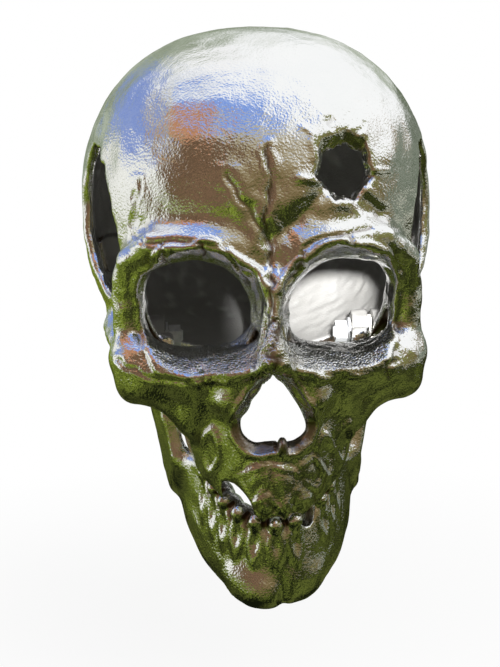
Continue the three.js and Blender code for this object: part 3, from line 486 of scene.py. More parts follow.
def on_arch(curve, along):
    """The place on an arch at a distance along it from its middle, and the way it runs there."""
    walked = 0
    at = curve(0)
    for i in range(1, ARCH_STEPS + 1):
        after = curve(math.pi / 2 * i / ARCH_STEPS)
        run_x, run_y = after[0] - at[0], after[1] - at[1]
        turn = math.atan2(run_y, run_x)
        walked += math.hypot(run_x, run_y)
        at = after
        if walked >= abs(along):
            break
    side = 1 if along >= 0 else -1
    return side * at[0], at[1], side * turn


def leaf(x, y, z, curve, height, row):
    """How far out of a leaf each point is, as a share of its size, and how far in front of it."""
    along, up, half_width, half_height, lean = row
    cx, cy, turn = on_arch(curve, along)
    across, out = turned(x - cx, y - cy, -turn)
    a, b = turned(across, z - height(cy) - up, lean)
    n = LEAF_POINTEDNESS
    return (np.abs(a / half_width) ** n + np.abs(b / half_height) ** n) ** (1 / n), out


def leaves(x, y, z, curve, height, rows, thickness):
    """Swellings with the outline of a leaf."""
    best = np.inf
    for row in rows:
        share, out = leaf(x, y, z, curve, height, row)
        best = np.minimum(best, (length(share, out / (thickness / 2)) - 1) * min(thickness / 2, row[2]))
    return best


def leaf_edges(x, y, z, skin, curve, height, rows):
    """Thin raised edges round leaves that lie on a skin."""
    best = np.inf
    for row in rows:
        share, out = leaf(x, y, z, curve, height, row)
        edge = length((share - 1) * row[2], skin) - LEAF_EDGE_RADIUS
        best = np.minimum(best, np.maximum(edge, np.abs(out) - LEAF_EDGE_REACH))
    return best


def tooth_socket(x, y, z):
    """The gap of the missing upper tooth, which widens to the back."""
    gap_x, gap_y, _ = on_arch(upper_curve, UPPER_GAP)
    across, up = turned(x - gap_x, z - gum_line(gap_y) - SOCKET_HALF[1] / 3, -SOCKET_LEAN)
    wider = 1 + SOCKET_FLARE * np.clip(y - gap_y - SOCKET_FLARE_FROM, 0, SOCKET_DEPTH)
    oval = length(across / SOCKET_HALF[0], up / SOCKET_HALF[1])
    return np.maximum((oval / wider - 1) * SOCKET_HALF[0], y - gap_y - SOCKET_DEPTH)


# Lugs inside the seam, for the screws that hold the two shells together
LUG_INSET = 5.5
LUG_RADIUS = 7.5
FACE_LUG_LENGTH = 12
REAR_LUG_LENGTH = 5
LUG_END_WALL = 2
SCREW_BORE = 2.3
BORE_PAST_SEAM = 5
BORE_PAST_LUG = 20


def lug_place(degrees):
    angle = math.radians(degrees)
    n = VAULT_SQUARENESS
    across = abs(math.cos(angle) / (VAULT_RADII[0] - WALL)) ** n
    up = abs(math.sin(angle) / (VAULT_RADII[2] - WALL)) ** n
    reach = (across + up) ** (-1 / n) - LUG_INSET
    return reach * math.cos(angle), VAULT_RISE + reach * math.sin(angle)


LUGS = [lug_place(60), lug_place(-18)]


def lugs(x, y, z, from_y, to_y, radius):
    best = np.inf
    for across, up in LUGS:
        ends = np.abs(y - (from_y + to_y) / 2) - (to_y - from_y) / 2
        best = np.minimum(best, np.maximum(length(x - across, z - up) - radius, ends))
    return best


# The castings
def shell(x, y, z):
    """Both halves of the head in one."""
    side = np.abs(x)
    ragged = EDGE_WANDER * waves(x, y, z, size=9, count=6, seed=3)
    d = smooth_max(outside(side, y, z), -hollow(side, y, z), blend=1.5)
    d = smooth_max(d, -base_opening(side, y, z) - ragged, blend=2.5)
    return smooth_max(d, -temple_opening(side, y, z) - ragged, blend=2.5)


def with_upper_teeth(d, skin, x, y, z):
    """A face with its upper teeth, their roots and the gap of the missing one."""
    teeth = leaves(x, y, z, upper_curve, upper_tips, UPPER_TEETH, UPPER_TOOTH_THICKNESS)
    d = smooth_min(d, teeth, blend=1)
    d = smooth_min(d, leaves(x, y, z, upper_curve, gum_line, UPPER_ROOTS, ROOT_THICKNESS), blend=1.5)
    edged = [row for row in UPPER_ROOTS if abs(row[0]) > EDGED_BEYOND]
    d = smooth_min(d, leaf_edges(x, y, z, skin, upper_curve, gum_line, edged), blend=1)
    return smooth_max(d, -tooth_socket(x, y, z), blend=1)


def with_pivot_bosses(d, side, y, z):
    """A face with the bosses of the jaw's pivot, bored for the bolts and their heads."""
    d = smooth_min(d, rod(side, y, z, WALL_AT_PIVOT, BOLT_SEAT_X, BOSS_RADIUS), blend=1.5)
    head = rod(side, y, z, BOLT_SEAT_X, BOLT_BORE_X[1], BOLT_HEAD_RADIUS + SEAT_GAP)
    d = smooth_max(d, -head, blend=0.6)
    return np.maximum(d, -rod(side, y, z, *BOLT_BORE_X, BOLT_RADIUS + SEAT_GAP))


def face(x, y, z):
    side = np.abs(x)
    skin = outside(side, y, z)
    nose = nose_outline(side, z) + NOSE_WANDER * waves(x, y, z, size=6, count=6, seed=4)
    d = shell(x, y, z)
    d = smooth_min(d, eye_lip(x, y, z, skin), blend=1.5)
    d = smooth_min(d, nose_crest(nose, y, skin), blend=1.5)
    d = smooth_max(d, -nose_opening(nose, y), blend=1.2)
    d = smooth_min(d, ellipsoid(x, y, z, *NOSE_SPINE), blend=1)
    d = smooth_max(d, -forehead_hole(x, y, z), blend=0.8)
    d = with_upper_teeth(d, skin, x, y, z)
    d = with_pivot_bosses(d, side, y, z)
    seam = SEAM_Y - SEAT_GAP / 2
    lug_end = seam - FACE_LUG_LENGTH
    d = smooth_min(d, lugs(side, y, z, lug_end, seam, LUG_RADIUS), blend=1.5)
    d = np.maximum(d, -lugs(side, y, z, lug_end + LUG_END_WALL, seam + BORE_PAST_SEAM, SCREW_BORE))
    return smooth_max(d, y - seam, blend=0.8)


HANGER_HALF = (18, 7)
HANGER_Z = VAULT_RISE + 11
HANGER_SCREW_X = 12
HANGER_SCREW_BORE = 2
POCKET_DEPTH = 2
HOOK_HALF = (5, 6.5)


def hanger_room(side, y, z):
    """The pocket for the hanger plate, the room for a hook behind it and the bores of its screws."""
    up = z - HANGER_Z
    straight = HANGER_HALF[0] - HANGER_HALF[1]
    plate = length(np.maximum(side - straight, 0), up) - HANGER_HALF[1] - 2 * SEAT_GAP
    pocket = np.maximum(plate, PAD_Y - POCKET_DEPTH - y)
    hook = np.maximum(side - HOOK_HALF[0], np.abs(up) - HOOK_HALF[1])
    bore = length(side - HANGER_SCREW_X, up) - HANGER_SCREW_BORE
    deep = np.maximum(np.minimum(hook, bore), PAD_Y - 3 * PAD_WALL - y)
    return np.minimum(pocket, deep)


def rear(x, y, z):
    side = np.abs(x)
    seam = SEAM_Y + SEAT_GAP / 2
    d = shell(x, y, z)
    d = smooth_min(d, lugs(side, y, z, seam, seam + REAR_LUG_LENGTH, LUG_RADIUS), blend=1.5)
    d = np.maximum(d, -lugs(side, y, z, seam - BORE_PAST_SEAM, seam + BORE_PAST_LUG, SCREW_BORE))
    d = smooth_max(d, seam - y, blend=0.8)
    d = smooth_max(d, y - PAD_Y, blend=1.5)
    return np.maximum(d, -hanger_room(side, y, z))


def arch_plan(x, y):
    """How far outside the middle line of the lower jaw each point is, seen from above."""
    u = x / JAW_SPREAD
    v = np.maximum(0, JAW_BACK - y) / JAW_REACH
    least_level = 0.05
    least_slope = 0.5 / JAW_REACH
    level = np.maximum(least_level, length(u, v))
    slope = length(u / JAW_SPREAD, v / JAW_REACH) / level
    return (level - 1) / np.maximum(slope, least_slope)


def jaw_body(x, y, z):
    top = lower_top(y)
    bottom = mix(CHIN_BOTTOM, JAW_ANGLE_Z, (y - JAW_FRONT) / (JAW_BACK - JAW_FRONT))
    leaning = y + JAW_LEAN * np.maximum(0, z - CHIN_BOTTOM)
    high = np.clip(1 + (z - top) / JAW_TAPER_HEIGHT, 0, 1) * ramp(y, *JAW_TAPER_Y)
    thinner = (JAW_THICKNESS - JAW_TOP_THICKNESS) / 2
    middle = arch_plan(x, leaning) + (JAW_TAPER - thinner) * high
    across = np.abs(middle) - JAW_THICKNESS / 2 + thinner * high + JAW_EDGE_RADIUS
    tall = np.abs(z - (top + bottom) / 2) - (top - bottom) / 2 + JAW_EDGE_RADIUS
    slab = past_sides(across, tall) - JAW_EDGE_RADIUS
    return smooth_max(slab, y - JAW_BACK - JAW_OVERRUN, blend=4)


def ramus(x, y, z):
    lean = np.minimum(0, y - PIVOT_Y + PIVOT_EYE_RADIUS) * RAMUS_FLARE
    tilt = np.minimum(0, z - PIVOT_Z + RAMUS_BEND) * RAMUS_TILT
    flat = 0 * x
    outline = smooth_min(bars(flat, y, z, RAMUS_BACK_BAR), bars(flat, y, z, RAMUS_FRONT_BAR), blend=6)
    outline = smooth_min(outline, bars(flat, y, z, RAMUS_WEB), blend=6)
    middle = (RAMUS_INNER + RAMUS_OUTER) / 2
    return smooth_max(outline, np.abs(x - middle - lean - tilt) - RAMUS_THICKNESS / 2, blend=2)


def jaw(x, y, z):
    side = np.abs(x)
    d = smooth_min(jaw_body(side, y, z), ramus(side, y, z), blend=9)
    d = smooth_min(d, ellipsoid(side, y, z, *CHIN_SWELL), blend=4)
    d = smooth_max(d, CHIN_BOTTOM - z, blend=3)
    gap_x, gap_y, _ = on_arch(lower_curve, LOWER_GAP)
    gap_middle = (gap_x, gap_y, lower_top(gap_y) - LOWER_GAP_SUNK)
    d = smooth_max(d, -ellipsoid(x, y, z, gap_middle, LOWER_GAP_RADII), blend=1)
    d = smooth_min(d, leaf_edges(x, y, z, d, lower_curve, lower_top, LOWER_ROOTS), blend=1.5)
    teeth = leaves(x, y, z, lower_curve, lower_tips, LOWER_TEETH, LOWER_TOOTH_THICKNESS)
    d = smooth_min(d, teeth, blend=1)
    d = smooth_min(d, rod(side, y, z, RAMUS_INNER, RAMUS_OUTER, PIVOT_EYE_RADIUS), blend=0.6)
    d = np.maximum(d, -rod(side, y, z, RAMUS_OUTER, FREE_OUTER, PIVOT_ROOM))
    d = np.maximum(d, -rod(side, y, z, FREE_INNER, RAMUS_INNER, PIVOT_ROOM))
    return np.maximum(d, -rod(side, y, z, FREE_INNER, FREE_OUTER, BUSH_BORE))


# Meshes of the fields, by surface nets
AROUND_EDGE = ((0, 0), (-1, 0), (-1, -1), (0, -1))


def sampled(field, low, high, cell):
    """The values of a field on a grid, worked out a few layers at a time."""
    counts = [int(math.ceil((high[i] - low[i]) / cell)) + 1 for i in range(3)]
    axes = [np.float32(low[i]) + np.float32(cell) * np.arange(counts[i], dtype=np.float32)
            for i in range(3)]
    values = np.empty(counts, np.float32)
    layers = 24
    for i in range(0, counts[0], layers):
        grid = np.meshgrid(axes[0][i:i + layers], axes[1], axes[2], indexing="ij")
        values[i:i + layers] = field(*grid)
    return values


def net(field, low, high, cell):
    """The surface of a field: a point in each cell that it cuts, and a quad round each cut edge."""
    values = sampled(field, low, high, cell)
    steps = np.eye(3, dtype=int)
    cuts = []
    rings = []
    for a in range(3):
        along, side_b, side_c = steps[a], steps[(a + 1) % 3], steps[(a + 2) % 3]
        edges = np.argwhere(np.diff(values < 0, axis=a))
        first = values[tuple(edges.T)].astype(float)
        second = values[tuple((edges + along).T)].astype(float)
        cuts.append(edges + np.outer(first / (first - second), along))
        ring = np.stack([edges + b * side_b + c * side_c for b, c in AROUND_EDGE], 1)
        rings.append(np.where((first < 0)[:, None, None], ring, ring[:, ::-1]))
    cells = np.ravel_multi_index(np.concatenate(rings).reshape(-1, 3).T, values.shape)
    _, number = np.unique(cells, return_inverse=True)
    around = len(AROUND_EDGE)
    cuts = np.repeat(np.concatenate(cuts), around, axis=0)
    sums = np.stack([np.bincount(number, place) for place in cuts.T], 1)
    middles = sums / np.bincount(number)[:, None]
    return np.array(low) + cell * middles, number.reshape(-1, around)


def slope_of(field, points):
    reach = 0.1
    steps = reach * np.eye(3)
    rises = [field(*(points + step).T) - field(*(points - step).T) for step in steps]
    return np.stack(rises, 1) / (2 * reach)


def settled(field, points, cell):
    """Points moved onto the surface of a field, and the directions straight out of it there."""
    rounds = 2
    least_steep = 0.3
    for _ in range(rounds):
        slope = slope_of(field, points)
        steep = np.maximum(length(*slope.T), least_steep)
        move = np.clip(field(*points.T) / steep, -cell / 2, cell / 2)
        points = points - slope * (move / steep)[:, None]
    slope = slope_of(field, points)
    return points, slope / np.maximum(length(*slope.T), 1e-6)[:, None]


# Lines worked into the front of the face: points across and up, half width, depth and raised lip;
# a line with a depth below 0 stands proud
CREASES = [
    ([(0, 60), (0.5, 45), (-1.5, 38), (0, 28), (0, 16), (0, 3), (-0.3, -13), (-0.8, -32)], 1, 0.8, 0.4),
    ([(-15.6, 49.5), (-11.9, 44.5), (-8.1, 37), (-3.7, 30.5), (-1, 25)], 1.6, 0.6, 0.4),
    ([(-49.2, 47.5), (-49.5, 40), (-51, 32), (-51.5, 25)], 0.8, 0.45, 0.25),
    ([(18.5, 55), (16.8, 62), (13.7, 66.7)], 1, -0.6, 0),
    ([(20, 46.5), (15.5, 47.3), (11, 48.5)], 1.3, -0.8, 0),
    ([(23.5, 70), (24.5, 66)], 0.8, 0.4, 0.2),
    ([(37.5, 68), (34.5, 64)], 0.8, 0.4, 0.2),
    ([(37, 49), (41, 50), (45.5, 49.5)], 1, -0.6, 0),
    ([(32, 41.5), (37, 37.5), (42, 33)], 2.4, 0.9, 0.5),
    ([(20, 44), (14.9, 37), (8.4, 32), (0.8, 26.7)], 3.2, 1.3, 0.6),
    ([(-50, 27), (-45, 25), (-36, 26), (-27, 25.5), (-18.8, 24), (-14.5, 19.7), (-9.5, 14.7)],
     0.8, 0.6, 0.3),
    ([(-40.5, 25), (-39.5, 21), (-40, 17)], 0.8, 0.8, 0.2),
    ([(-26.5, 25), (-25.2, 20)], 1, 0.8, 0.2),
    ([(-13, 19), (-11.5, 14), (-10, 9)], 0.8, 0.7, 0.3),
    ([(8.5, 16), (12, 21.8), (15, 24.5), (24, 27), (37, 29)], 0.8, 0.6, 0.3),
    ([(11, 20), (8, 13), (4, 8)], 0.8, 0.7, 0.3),
    ([(30, 27), (31, 23)], 0.8, 0.7, 0.2),
    ([(-58, -20), (-46, -26), (-34, -27), (-20, -25)], 0.8, 0.5, 0.4),
    ([(-27, -22), (-26, -29)], 0.8, 0.7, 0.2),
    ([(20, -25), (36, -25), (48, -22)], 0.8, 0.5, 0.4),
    ([(44, -22), (45, -28)], 0.8, 0.7, 0.2),
]
CREASE_WANDER = 1.2
CREASE_LIP_HALF = 1.2
BROAD_CREASE = 2
BESIDE = 2.2

# Raised edges between the leaf-like roots of the front teeth
RIDGES = [
    [(-14.5, -64.3), (-9.2, -60.8), (-2.8, -58.5), (-3.3, -65.4), (-8.6, -73.5), (-14.5, -64.3)],
    [(-2.2, -58.5), (8.4, -62), (8.7, -67.8), (2.5, -77.6), (-2.2, -68.9), (-2.2, -58.5)],
    [(-8.6, -74.1), (-2.8, -70), (1.4, -77), (-4.5, -81), (-8.6, -77.5)],
    [(3.1, -79.4), (7.2, -74.7), (13.1, -71.8), (14.3, -77), (10, -80)],
    [(10, -60), (15, -57), (19, -62), (16, -70), (11, -66)],
]
RIDGE_HALF = 0.8
RIDGE_HEIGHT = 0.32
# Beside each ridge a band is darkened: painted shade, in the tarnish brown
RIDGE_SHADE = 0.55

# The swell of the nose bridge, and a darker brown painted on the sill of the nose opening
BRIDGE_RISE = 3
BRIDGE_HALF = 6
BRIDGE_TOP = (4, -16)
BRIDGE_BOTTOM = (-30, -22)
SILL_TOP = NOSE_BOTTOM + 8
SILL_REACH = 1.3
SILL_SHARPNESS = 3
SILL_DARKENING = 0.7

# How far a skin has to face the front to be marked, and where the front of a casting ends
FRONT_FACING = (0.15, 0.35)
FACE_MARKED_TO = -40
CHIN_MARKED_TO = JAW_FRONT + 25


def towards_front(outward):
    """One where the skin faces the front, and nought where it turns away."""
    return ramp(-outward[:, 1], *FRONT_FACING)


def swell(away, half):
    """A rounded rise: one in its middle, and nearly nought at twice its half width."""
    return np.exp(-(away / half) ** 2)


def line_distance(x, z, points):
    return bars(x, 0 * x, z, [(across, 0, up, 0) for across, up in points])


# A darker brown painted along the sill of the nose opening, in the tarnish colour
def sill_darkening(x, z):
    near = SILL_REACH - nose_outline(np.abs(x), z) / NOSE_FLARE
    return SILL_DARKENING * np.clip(SILL_SHARPNESS * near, 0, 1) * (z < SILL_TOP)


def creased(points, outward):
    """How far the front of the face is raised, and how much painted shade and tarnish it carries."""
    x, y, z = points.T
    front = towards_front(outward) * (y < FACE_MARKED_TO)
    wander = CREASE_WANDER * waves(x, y, z, size=8, count=6, seed=5)
    raised = np.zeros(len(points))
    painted_shade_and_tarnish = sill_darkening(x, z)
    for line, half, depth, lip in CREASES:
        away = line_distance(x + wander, z, line)
        groove = depth * swell(away, half)
        raised += front * (lip * swell(away - BESIDE * half, CREASE_LIP_HALF * half) - groove)
        # Narrow creases are darkened: painted shade and tarnish
        if half < BROAD_CREASE:
            painted_shade_and_tarnish = np.maximum(painted_shade_and_tarnish, front * groove)
    bridge = ramp(z, *BRIDGE_TOP) * ramp(z, *BRIDGE_BOTTOM)
    raised += front * BRIDGE_RISE * bridge * swell(x, BRIDGE_HALF)
    for line in RIDGES:
        away = line_distance(x + wander / 3, z, line)
        beside = swell(away - BESIDE * RIDGE_HALF, RIDGE_HALF)
        raised += front * RIDGE_HEIGHT * (swell(away, RIDGE_HALF) - beside / 2)
        # The band beside each ridge is darkened: painted shade, in the tarnish brown
        painted_shade_and_tarnish = np.maximum(painted_shade_and_tarnish, RIDGE_SHADE * front * beside)
    return raised, painted_shade_and_tarnish


# The boss on one side of the chin and the notch beside it: place across, half width and height
CHIN_BOSS = (-6, 9, 2.8)
CHIN_NOTCH = (2.5, 2, -1.5)
CHIN_MARK_Z = CHIN_BOTTOM + 6
CHIN_MARK_HALF = 6


def chin_marks(points, outward):
    """How far the chin is raised; none of it is darkened."""
    x, y, z = points.T
    front = towards_front(outward) * (y < CHIN_MARKED_TO)
    raised = sum(height * swell(x - across, half) for across, half, height in (CHIN_BOSS, CHIN_NOTCH))
    return front * swell(z - CHIN_MARK_Z, CHIN_MARK_HALF) * raised, np.zeros(len(points))


def unmarked(points, outward):
    nothing = np.zeros(len(points))
    return nothing, nothing


# Layers of the uneven skin, each with its height, the size of its bumps and its seed
SKIN_LAYERS = [(0.2, 15, 1), (0.04, 6, 2)]
CRUMPLED_LAYERS = [(0.13, 6.5, 3), (0.05, 3.6, 4)]
WAVES_IN_LAYER = 24
CRUMPLED_BELOW = 30
CRUMPLED_ABOVE = -32
CRUMPLED_FADE = 8
CRUMPLED_LEAST = 0.2
PAD_EDGE = (PAD_Y - 1, PAD_Y - 4)


def uneven(points, layers):
    return sum(height * waves(*points.T, size, WAVES_IN_LAYER, seed) for height, size, seed in layers)


def hammered(points):
    """The uneven skin of the casting: gentle, crumpled round the eyes, and none on the wall pad."""
    y, z = points[:, 1], points[:, 2]
    from_ends = np.minimum(CRUMPLED_BELOW - z, z - CRUMPLED_ABOVE)
    round_eyes = np.clip(from_ends / CRUMPLED_FADE, CRUMPLED_LEAST, 1)
    skin = uneven(points, SKIN_LAYERS) + uneven(points, CRUMPLED_LAYERS) * round_eyes
    return ramp(y, *PAD_EDGE) * skin


# Labels that the points of a casting carry for its material
SHELTER_REACH = 4
RAW_ABOVE = PIVOT_Z - 12
EYE_WALL_REACH = 1.8
EYE_FLOOR_Z = (0, -6)


def sheltered(field, points, outward):
    """How far each point lies in a hollow of its field, from 0 in the open to 1."""
    ahead = field(*(points + SHELTER_REACH * outward).T)
    return np.clip(1 - ahead / SHELTER_REACH, 0, 1)


def within(points, outward):
    """One on what shows inside the hollow of the head, and nought outside it or in its openings."""
    reach = 3
    x, y, z = (points + reach * outward).T
    return np.clip(-hollow(np.abs(x), y, z) - reach / 2, 0, 1)


def eye_floor(points):
    """One on the lower walls of the eye openings, where no polishing wheel reaches."""
    x, y, z = points.T
    on_wall = np.clip(EYE_WALL_REACH - np.abs(orbit(np.abs(x), y, z)), 0, 1)
    return on_wall * ramp(z, *EYE_FLOOR_Z)


def mesh_object(name, points, faces, material):
    """A smooth mesh object from points in millimetres."""
    mesh = bpy.data.meshes.new(name)
    mesh.from_pydata(((points + SHIFT) / 1000).tolist(), [], [list(f) for f in faces])
    mesh.polygons.foreach_set("use_smooth", np.ones(len(mesh.polygons), bool))
    mesh.materials.append(material)
    made = bpy.data.objects.new(name, mesh)
    bpy.context.scene.collection.objects.link(made)
    return made


def cast_piece(name, field, box, cell, marks, material, body, node):
    """The mesh of a field with its marks and skin, riding on a body in place of a solid."""
    points, quads = net(field, *box, cell)
    points, outward = settled(field, points, cell)
    raised, painted_shade_and_tarnish = marks(points, outward)
    # Shade: sheltered hollows and the darkening of the marks, which the material paints brown; part
    # tarnish, part painted shade
    shade = np.maximum(sheltered(field, points, outward), painted_shade_and_tarnish)
    points = points + outward * (raised + hammered(points))[:, None]
    made = mesh_object(name, points, quads, material)
    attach(made, body)
    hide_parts(node)
    labels = {"hollow_shade_and_tarnish": shade, "inside": within(points, outward)}
    if body == "cranium":
        labels["eye_floor"] = eye_floor(points)
    else:
        labels["inside"] *= points[:, 2] > RAW_ABOVE
    for label, values in labels.items():
        data = made.data.attributes.new(label, "FLOAT", "POINT").data
        data.foreach_set("value", values.astype(np.float32))


# Materials
class Graph:
    """The nodes of a material or of the world, with short ways to add the usual ones."""

    def __init__(self, tree):
        self.nodes = tree.nodes
        self.links = tree.links

    def fill(self, node, inputs):
        """Puts numbers, colours or what other nodes give into the sockets of a node."""
        for name, value in inputs.items():
            socket = node.inputs[name]
            if isinstance(value, bpy.types.NodeSocket):
                self.links.new(value, socket)
            elif isinstance(value, tuple):
                socket.default_value = (*value, 1)
            else:
                socket.default_value = value

    def add(self, kind, inputs, output, **settings):
        """Adds a node and gives one of its outputs."""
        made = self.nodes.new("ShaderNode" + kind)
        for name, value in settings.items():
            setattr(made, name, value)
        self.fill(made, inputs)
        return made.outputs[output]

    def place(self):
        return self.add("TexCoord", {}, "Object")

    def label(self, name):
        """What the points of a mesh carry under a name."""
        return self.add("Attribute", {}, "Fac", attribute_name=name)

    def noise(self, scale, detail):
        return self.add("TexNoise", {"Scale": scale, "Detail": detail, "Vector": self.place()}, "Fac")

    def spread(self, value, given, wanted=(0, 1)):
        """A value that runs over one range, spread over another."""
        ends = dict(zip(("From Min", "From Max", "To Min", "To Max"), (*given, *wanted)))
        return self.add("MapRange", {"Value": value, **ends}, "Result")

    def blend(self, share, first, second):
        """A colour between two, with the share of the second."""
        colour_a, colour_b, result = 6, 7, 2
        inputs = {"Factor": share, colour_a: first, colour_b: second}
        return self.add("Mix", inputs, result, data_type="RGBA")

    def math(self, operation, *values):
        return self.add("Math", dict(enumerate(values)), "Value", operation=operation)

    def vector(self, operation, value, output):
        return self.add("VectorMath", {0: value}, output, operation=operation)

    def part(self, vector, axis):
        return self.add("SeparateXYZ", {"Vector": vector}, axis)

    def grain(self, shader, scale, depth):
        bump = {"Strength": 1, "Distance": depth, "Height": self.noise(scale, detail=1.5)}
        self.fill(shader, {"Normal": self.add("Bump", bump, "Normal")})

    def only_glows(self, colour):
        """Makes a material give a colour of its own and nothing else."""
        self.nodes.remove(self.nodes["Principled BSDF"])
        glow = self.add("Emission", {"Color": colour}, "Emission")
        self.fill(self.nodes["Material Output"], {"Surface": glow})


def new_material(name):
    material = bpy.data.materials.new(name)
    material.use_nodes = True
    return material, Graph(material.node_tree)


BRIGHT_METAL = ((0.98, 0.98, 0.97), (0.91, 0.915, 0.92))
RAW_METAL = ((0.35, 0.345, 0.335), (0.24, 0.235, 0.22))
# Tarnish brown, which also paints shade: it darkens sheltered hollows, narrow creases, the bands beside
# ridges and the nose sill
TARNISH_AND_SHADE = (0.16, 0.105, 0.068)
TARNISH_AND_SHADE_PATCHINESS = 0.5
TARNISH_AND_SHADE_RANGE = (0.55, 1.05)
POLISHED_TO_TARNISHED = (0.05, 0.4)
RAW_ROUGHNESS = 0.62
RAW_METALLIC = 0.3
PEBBLE_SCALE = 1100
PEBBLE_DEPTHS = (0.0002, 0.0008)


def cast_metal():
    """Polished cast metal with a fine pebbled skin, brown tarnish and painted shade in its hollows and
    creases, and a raw inside.
    """
    material, graph = new_material("cast_metal")
    shader = graph.nodes["Principled BSDF"]
    inside = graph.label("inside")
    patchy = graph.noise(scale=90, detail=4)
    # Painted shade and tarnish: the brown share grows with the hollow label, in patches
    painted_shade_and_tarnish = graph.math("MULTIPLY_ADD", patchy, TARNISH_AND_SHADE_PATCHINESS, graph.label("hollow_shade_and_tarnish"))
    shade_and_tarnish_share = graph.spread(painted_shade_and_tarnish, TARNISH_AND_SHADE_RANGE)
    bright = graph.blend(graph.noise(scale=30, detail=3), *BRIGHT_METAL)
    raw = graph.blend(graph.noise(scale=60, detail=5), *RAW_METAL)
    skin = graph.blend(shade_and_tarnish_share, bright, TARNISH_AND_SHADE)
    skin_roughness = graph.spread(shade_and_tarnish_share, (0, 1), POLISHED_TO_TARNISHED)
    raw_roughness = graph.spread(inside, (0, 1), (0, RAW_ROUGHNESS))
    graph.fill(shader, {
        "Base Color": graph.blend(inside, skin, raw),
        "Metallic": graph.spread(inside, (0, 1), (1, RAW_METALLIC)),
        "Roughness": graph.math("MAXIMUM", skin_roughness, raw_roughness),
    })
    graph.grain(shader, PEBBLE_SCALE, graph.spread(graph.label("eye_floor"), (0, 1), PEBBLE_DEPTHS))
    return material


def mottled(name, colours, patch_scale, roughness, wear_scale, grain_scale, grain_depth, metallic):
    """A material of two colours in patches, unevenly worn and with a fine grain."""
    material, graph = new_material(name)
    shader = graph.nodes["Principled BSDF"]
    patches = graph.spread(graph.noise(patch_scale, detail=4), (0.35, 0.65))
    wear = graph.spread(graph.noise(wear_scale, detail=3), (0.3, 0.7), roughness)
    colour = graph.blend(patches, *colours)
    graph.fill(shader, {"Base Color": colour, "Roughness": wear, "Metallic": metallic})
    graph.grain(shader, grain_scale, grain_depth)
    return material


def zinc_plate():
    return mottled("zinc_plate", ((0.56, 0.57, 0.59), (0.7, 0.71, 0.71)), patch_scale=400,
                   roughness=(0.45, 0.62), wear_scale=900, grain_scale=3000, grain_depth=0.00003,
                   metallic=0.55)


def natural_nylon():
    """Cream nylon with the faint cloudiness of a moulding."""
    return mottled("natural_nylon", ((0.8, 0.77, 0.69), (0.88, 0.86, 0.8)), patch_scale=250,
                   roughness=(0.4, 0.55), wear_scale=700, grain_scale=2500, grain_depth=0.00002,
                   metallic=0)


CASTINGS = ("face_shell", "rear_shell", "mandible")


def dress_hardware():
    """The hardware keeps the shapes of its solids."""
    zinc, nylon = zinc_plate(), natural_nylon()
    for name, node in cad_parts.items():
        if name not in CASTINGS:
            node.data.materials.clear()
            node.data.materials.append(nylon if "bush" in name else zinc)


# Camera: its place in degrees round the head, and where on the photograph it sees its aim
CAMERA_AZIMUTH = 4.2
CAMERA_RISE = 8
CAMERA_ROLL = -0.8
CAMERA_DISTANCE = 0.6
SENSOR_WIDTH = 36
PHOTO_SIZE = (500, 667)
FOCAL_PIXELS = 1600
AIM_PIXEL = (271.5, 308)


def direction(azimuth, rise):
    """The way to a place round the head, in degrees to the viewer's left and up."""
    a, e = math.radians(azimuth), math.radians(rise)
    return Vector((-math.sin(a) * math.cos(e), -math.cos(a) * math.cos(e), math.sin(e)))


def in_frame(x, y, z):
    """A place in millimetres as one in metres in the frame of the solids."""
    return Vector((SHIFT + np.array([x, y, z])) / 1000)


def add_camera():
    back = direction(CAMERA_AZIMUTH, CAMERA_RISE)
    roll = Matrix.Rotation(math.radians(CAMERA_ROLL), 3, "Z")
    turn = back.to_track_quat("Z", "Y").to_matrix() @ roll
    off_x = (AIM_PIXEL[0] - PHOTO_SIZE[0] / 2) / FOCAL_PIXELS
    off_y = (PHOTO_SIZE[1] / 2 - AIM_PIXEL[1]) / FOCAL_PIXELS
    looking = turn @ Vector((-off_x, -off_y, -1)).normalized()
    across = looking.cross(turn @ Vector((0, 1, 0))).normalized()
    upright = across.cross(looking)
    data = bpy.data.cameras.new("camera")
    data.sensor_width = SENSOR_WIDTH
    data.lens = FOCAL_PIXELS / max(PHOTO_SIZE) * SENSOR_WIDTH
    camera = bpy.data.objects.new("camera", data)
    camera.location = in_frame(0, RIM_Y, 0) + back * CAMERA_DISTANCE
    camera.rotation_euler = Matrix((across, upright, -looking)).transposed().to_euler()
    bpy.context.scene.collection.objects.link(camera)
    bpy.context.scene.camera = camera


# Floor and background
FLOOR_Z = -0.205
FLOOR_SIZE = 12
FLOOR_COLOUR = (0.88, 0.88, 0.87)
FLOOR_ROUGHNESS = 0.8
SHADOW_REACH = (0.05, 0.3)
FLOOR_WHITENESS = (0.9, 1)
WHITE = (1, 1, 1)
FILL_AND_BACKGROUND = (0.3, 1.0)


def seen_as_background(graph):
    """One for rays from the camera, from mirrors and through glass, and nought for all others."""
    kinds = ("Camera", "Glossy", "Transmission")
    camera, mirror, glass = (graph.add("LightPath", {}, f"Is {kind} Ray") for kind in kinds)
    return graph.math("MAXIMUM", graph.math("MAXIMUM", camera, mirror), glass)


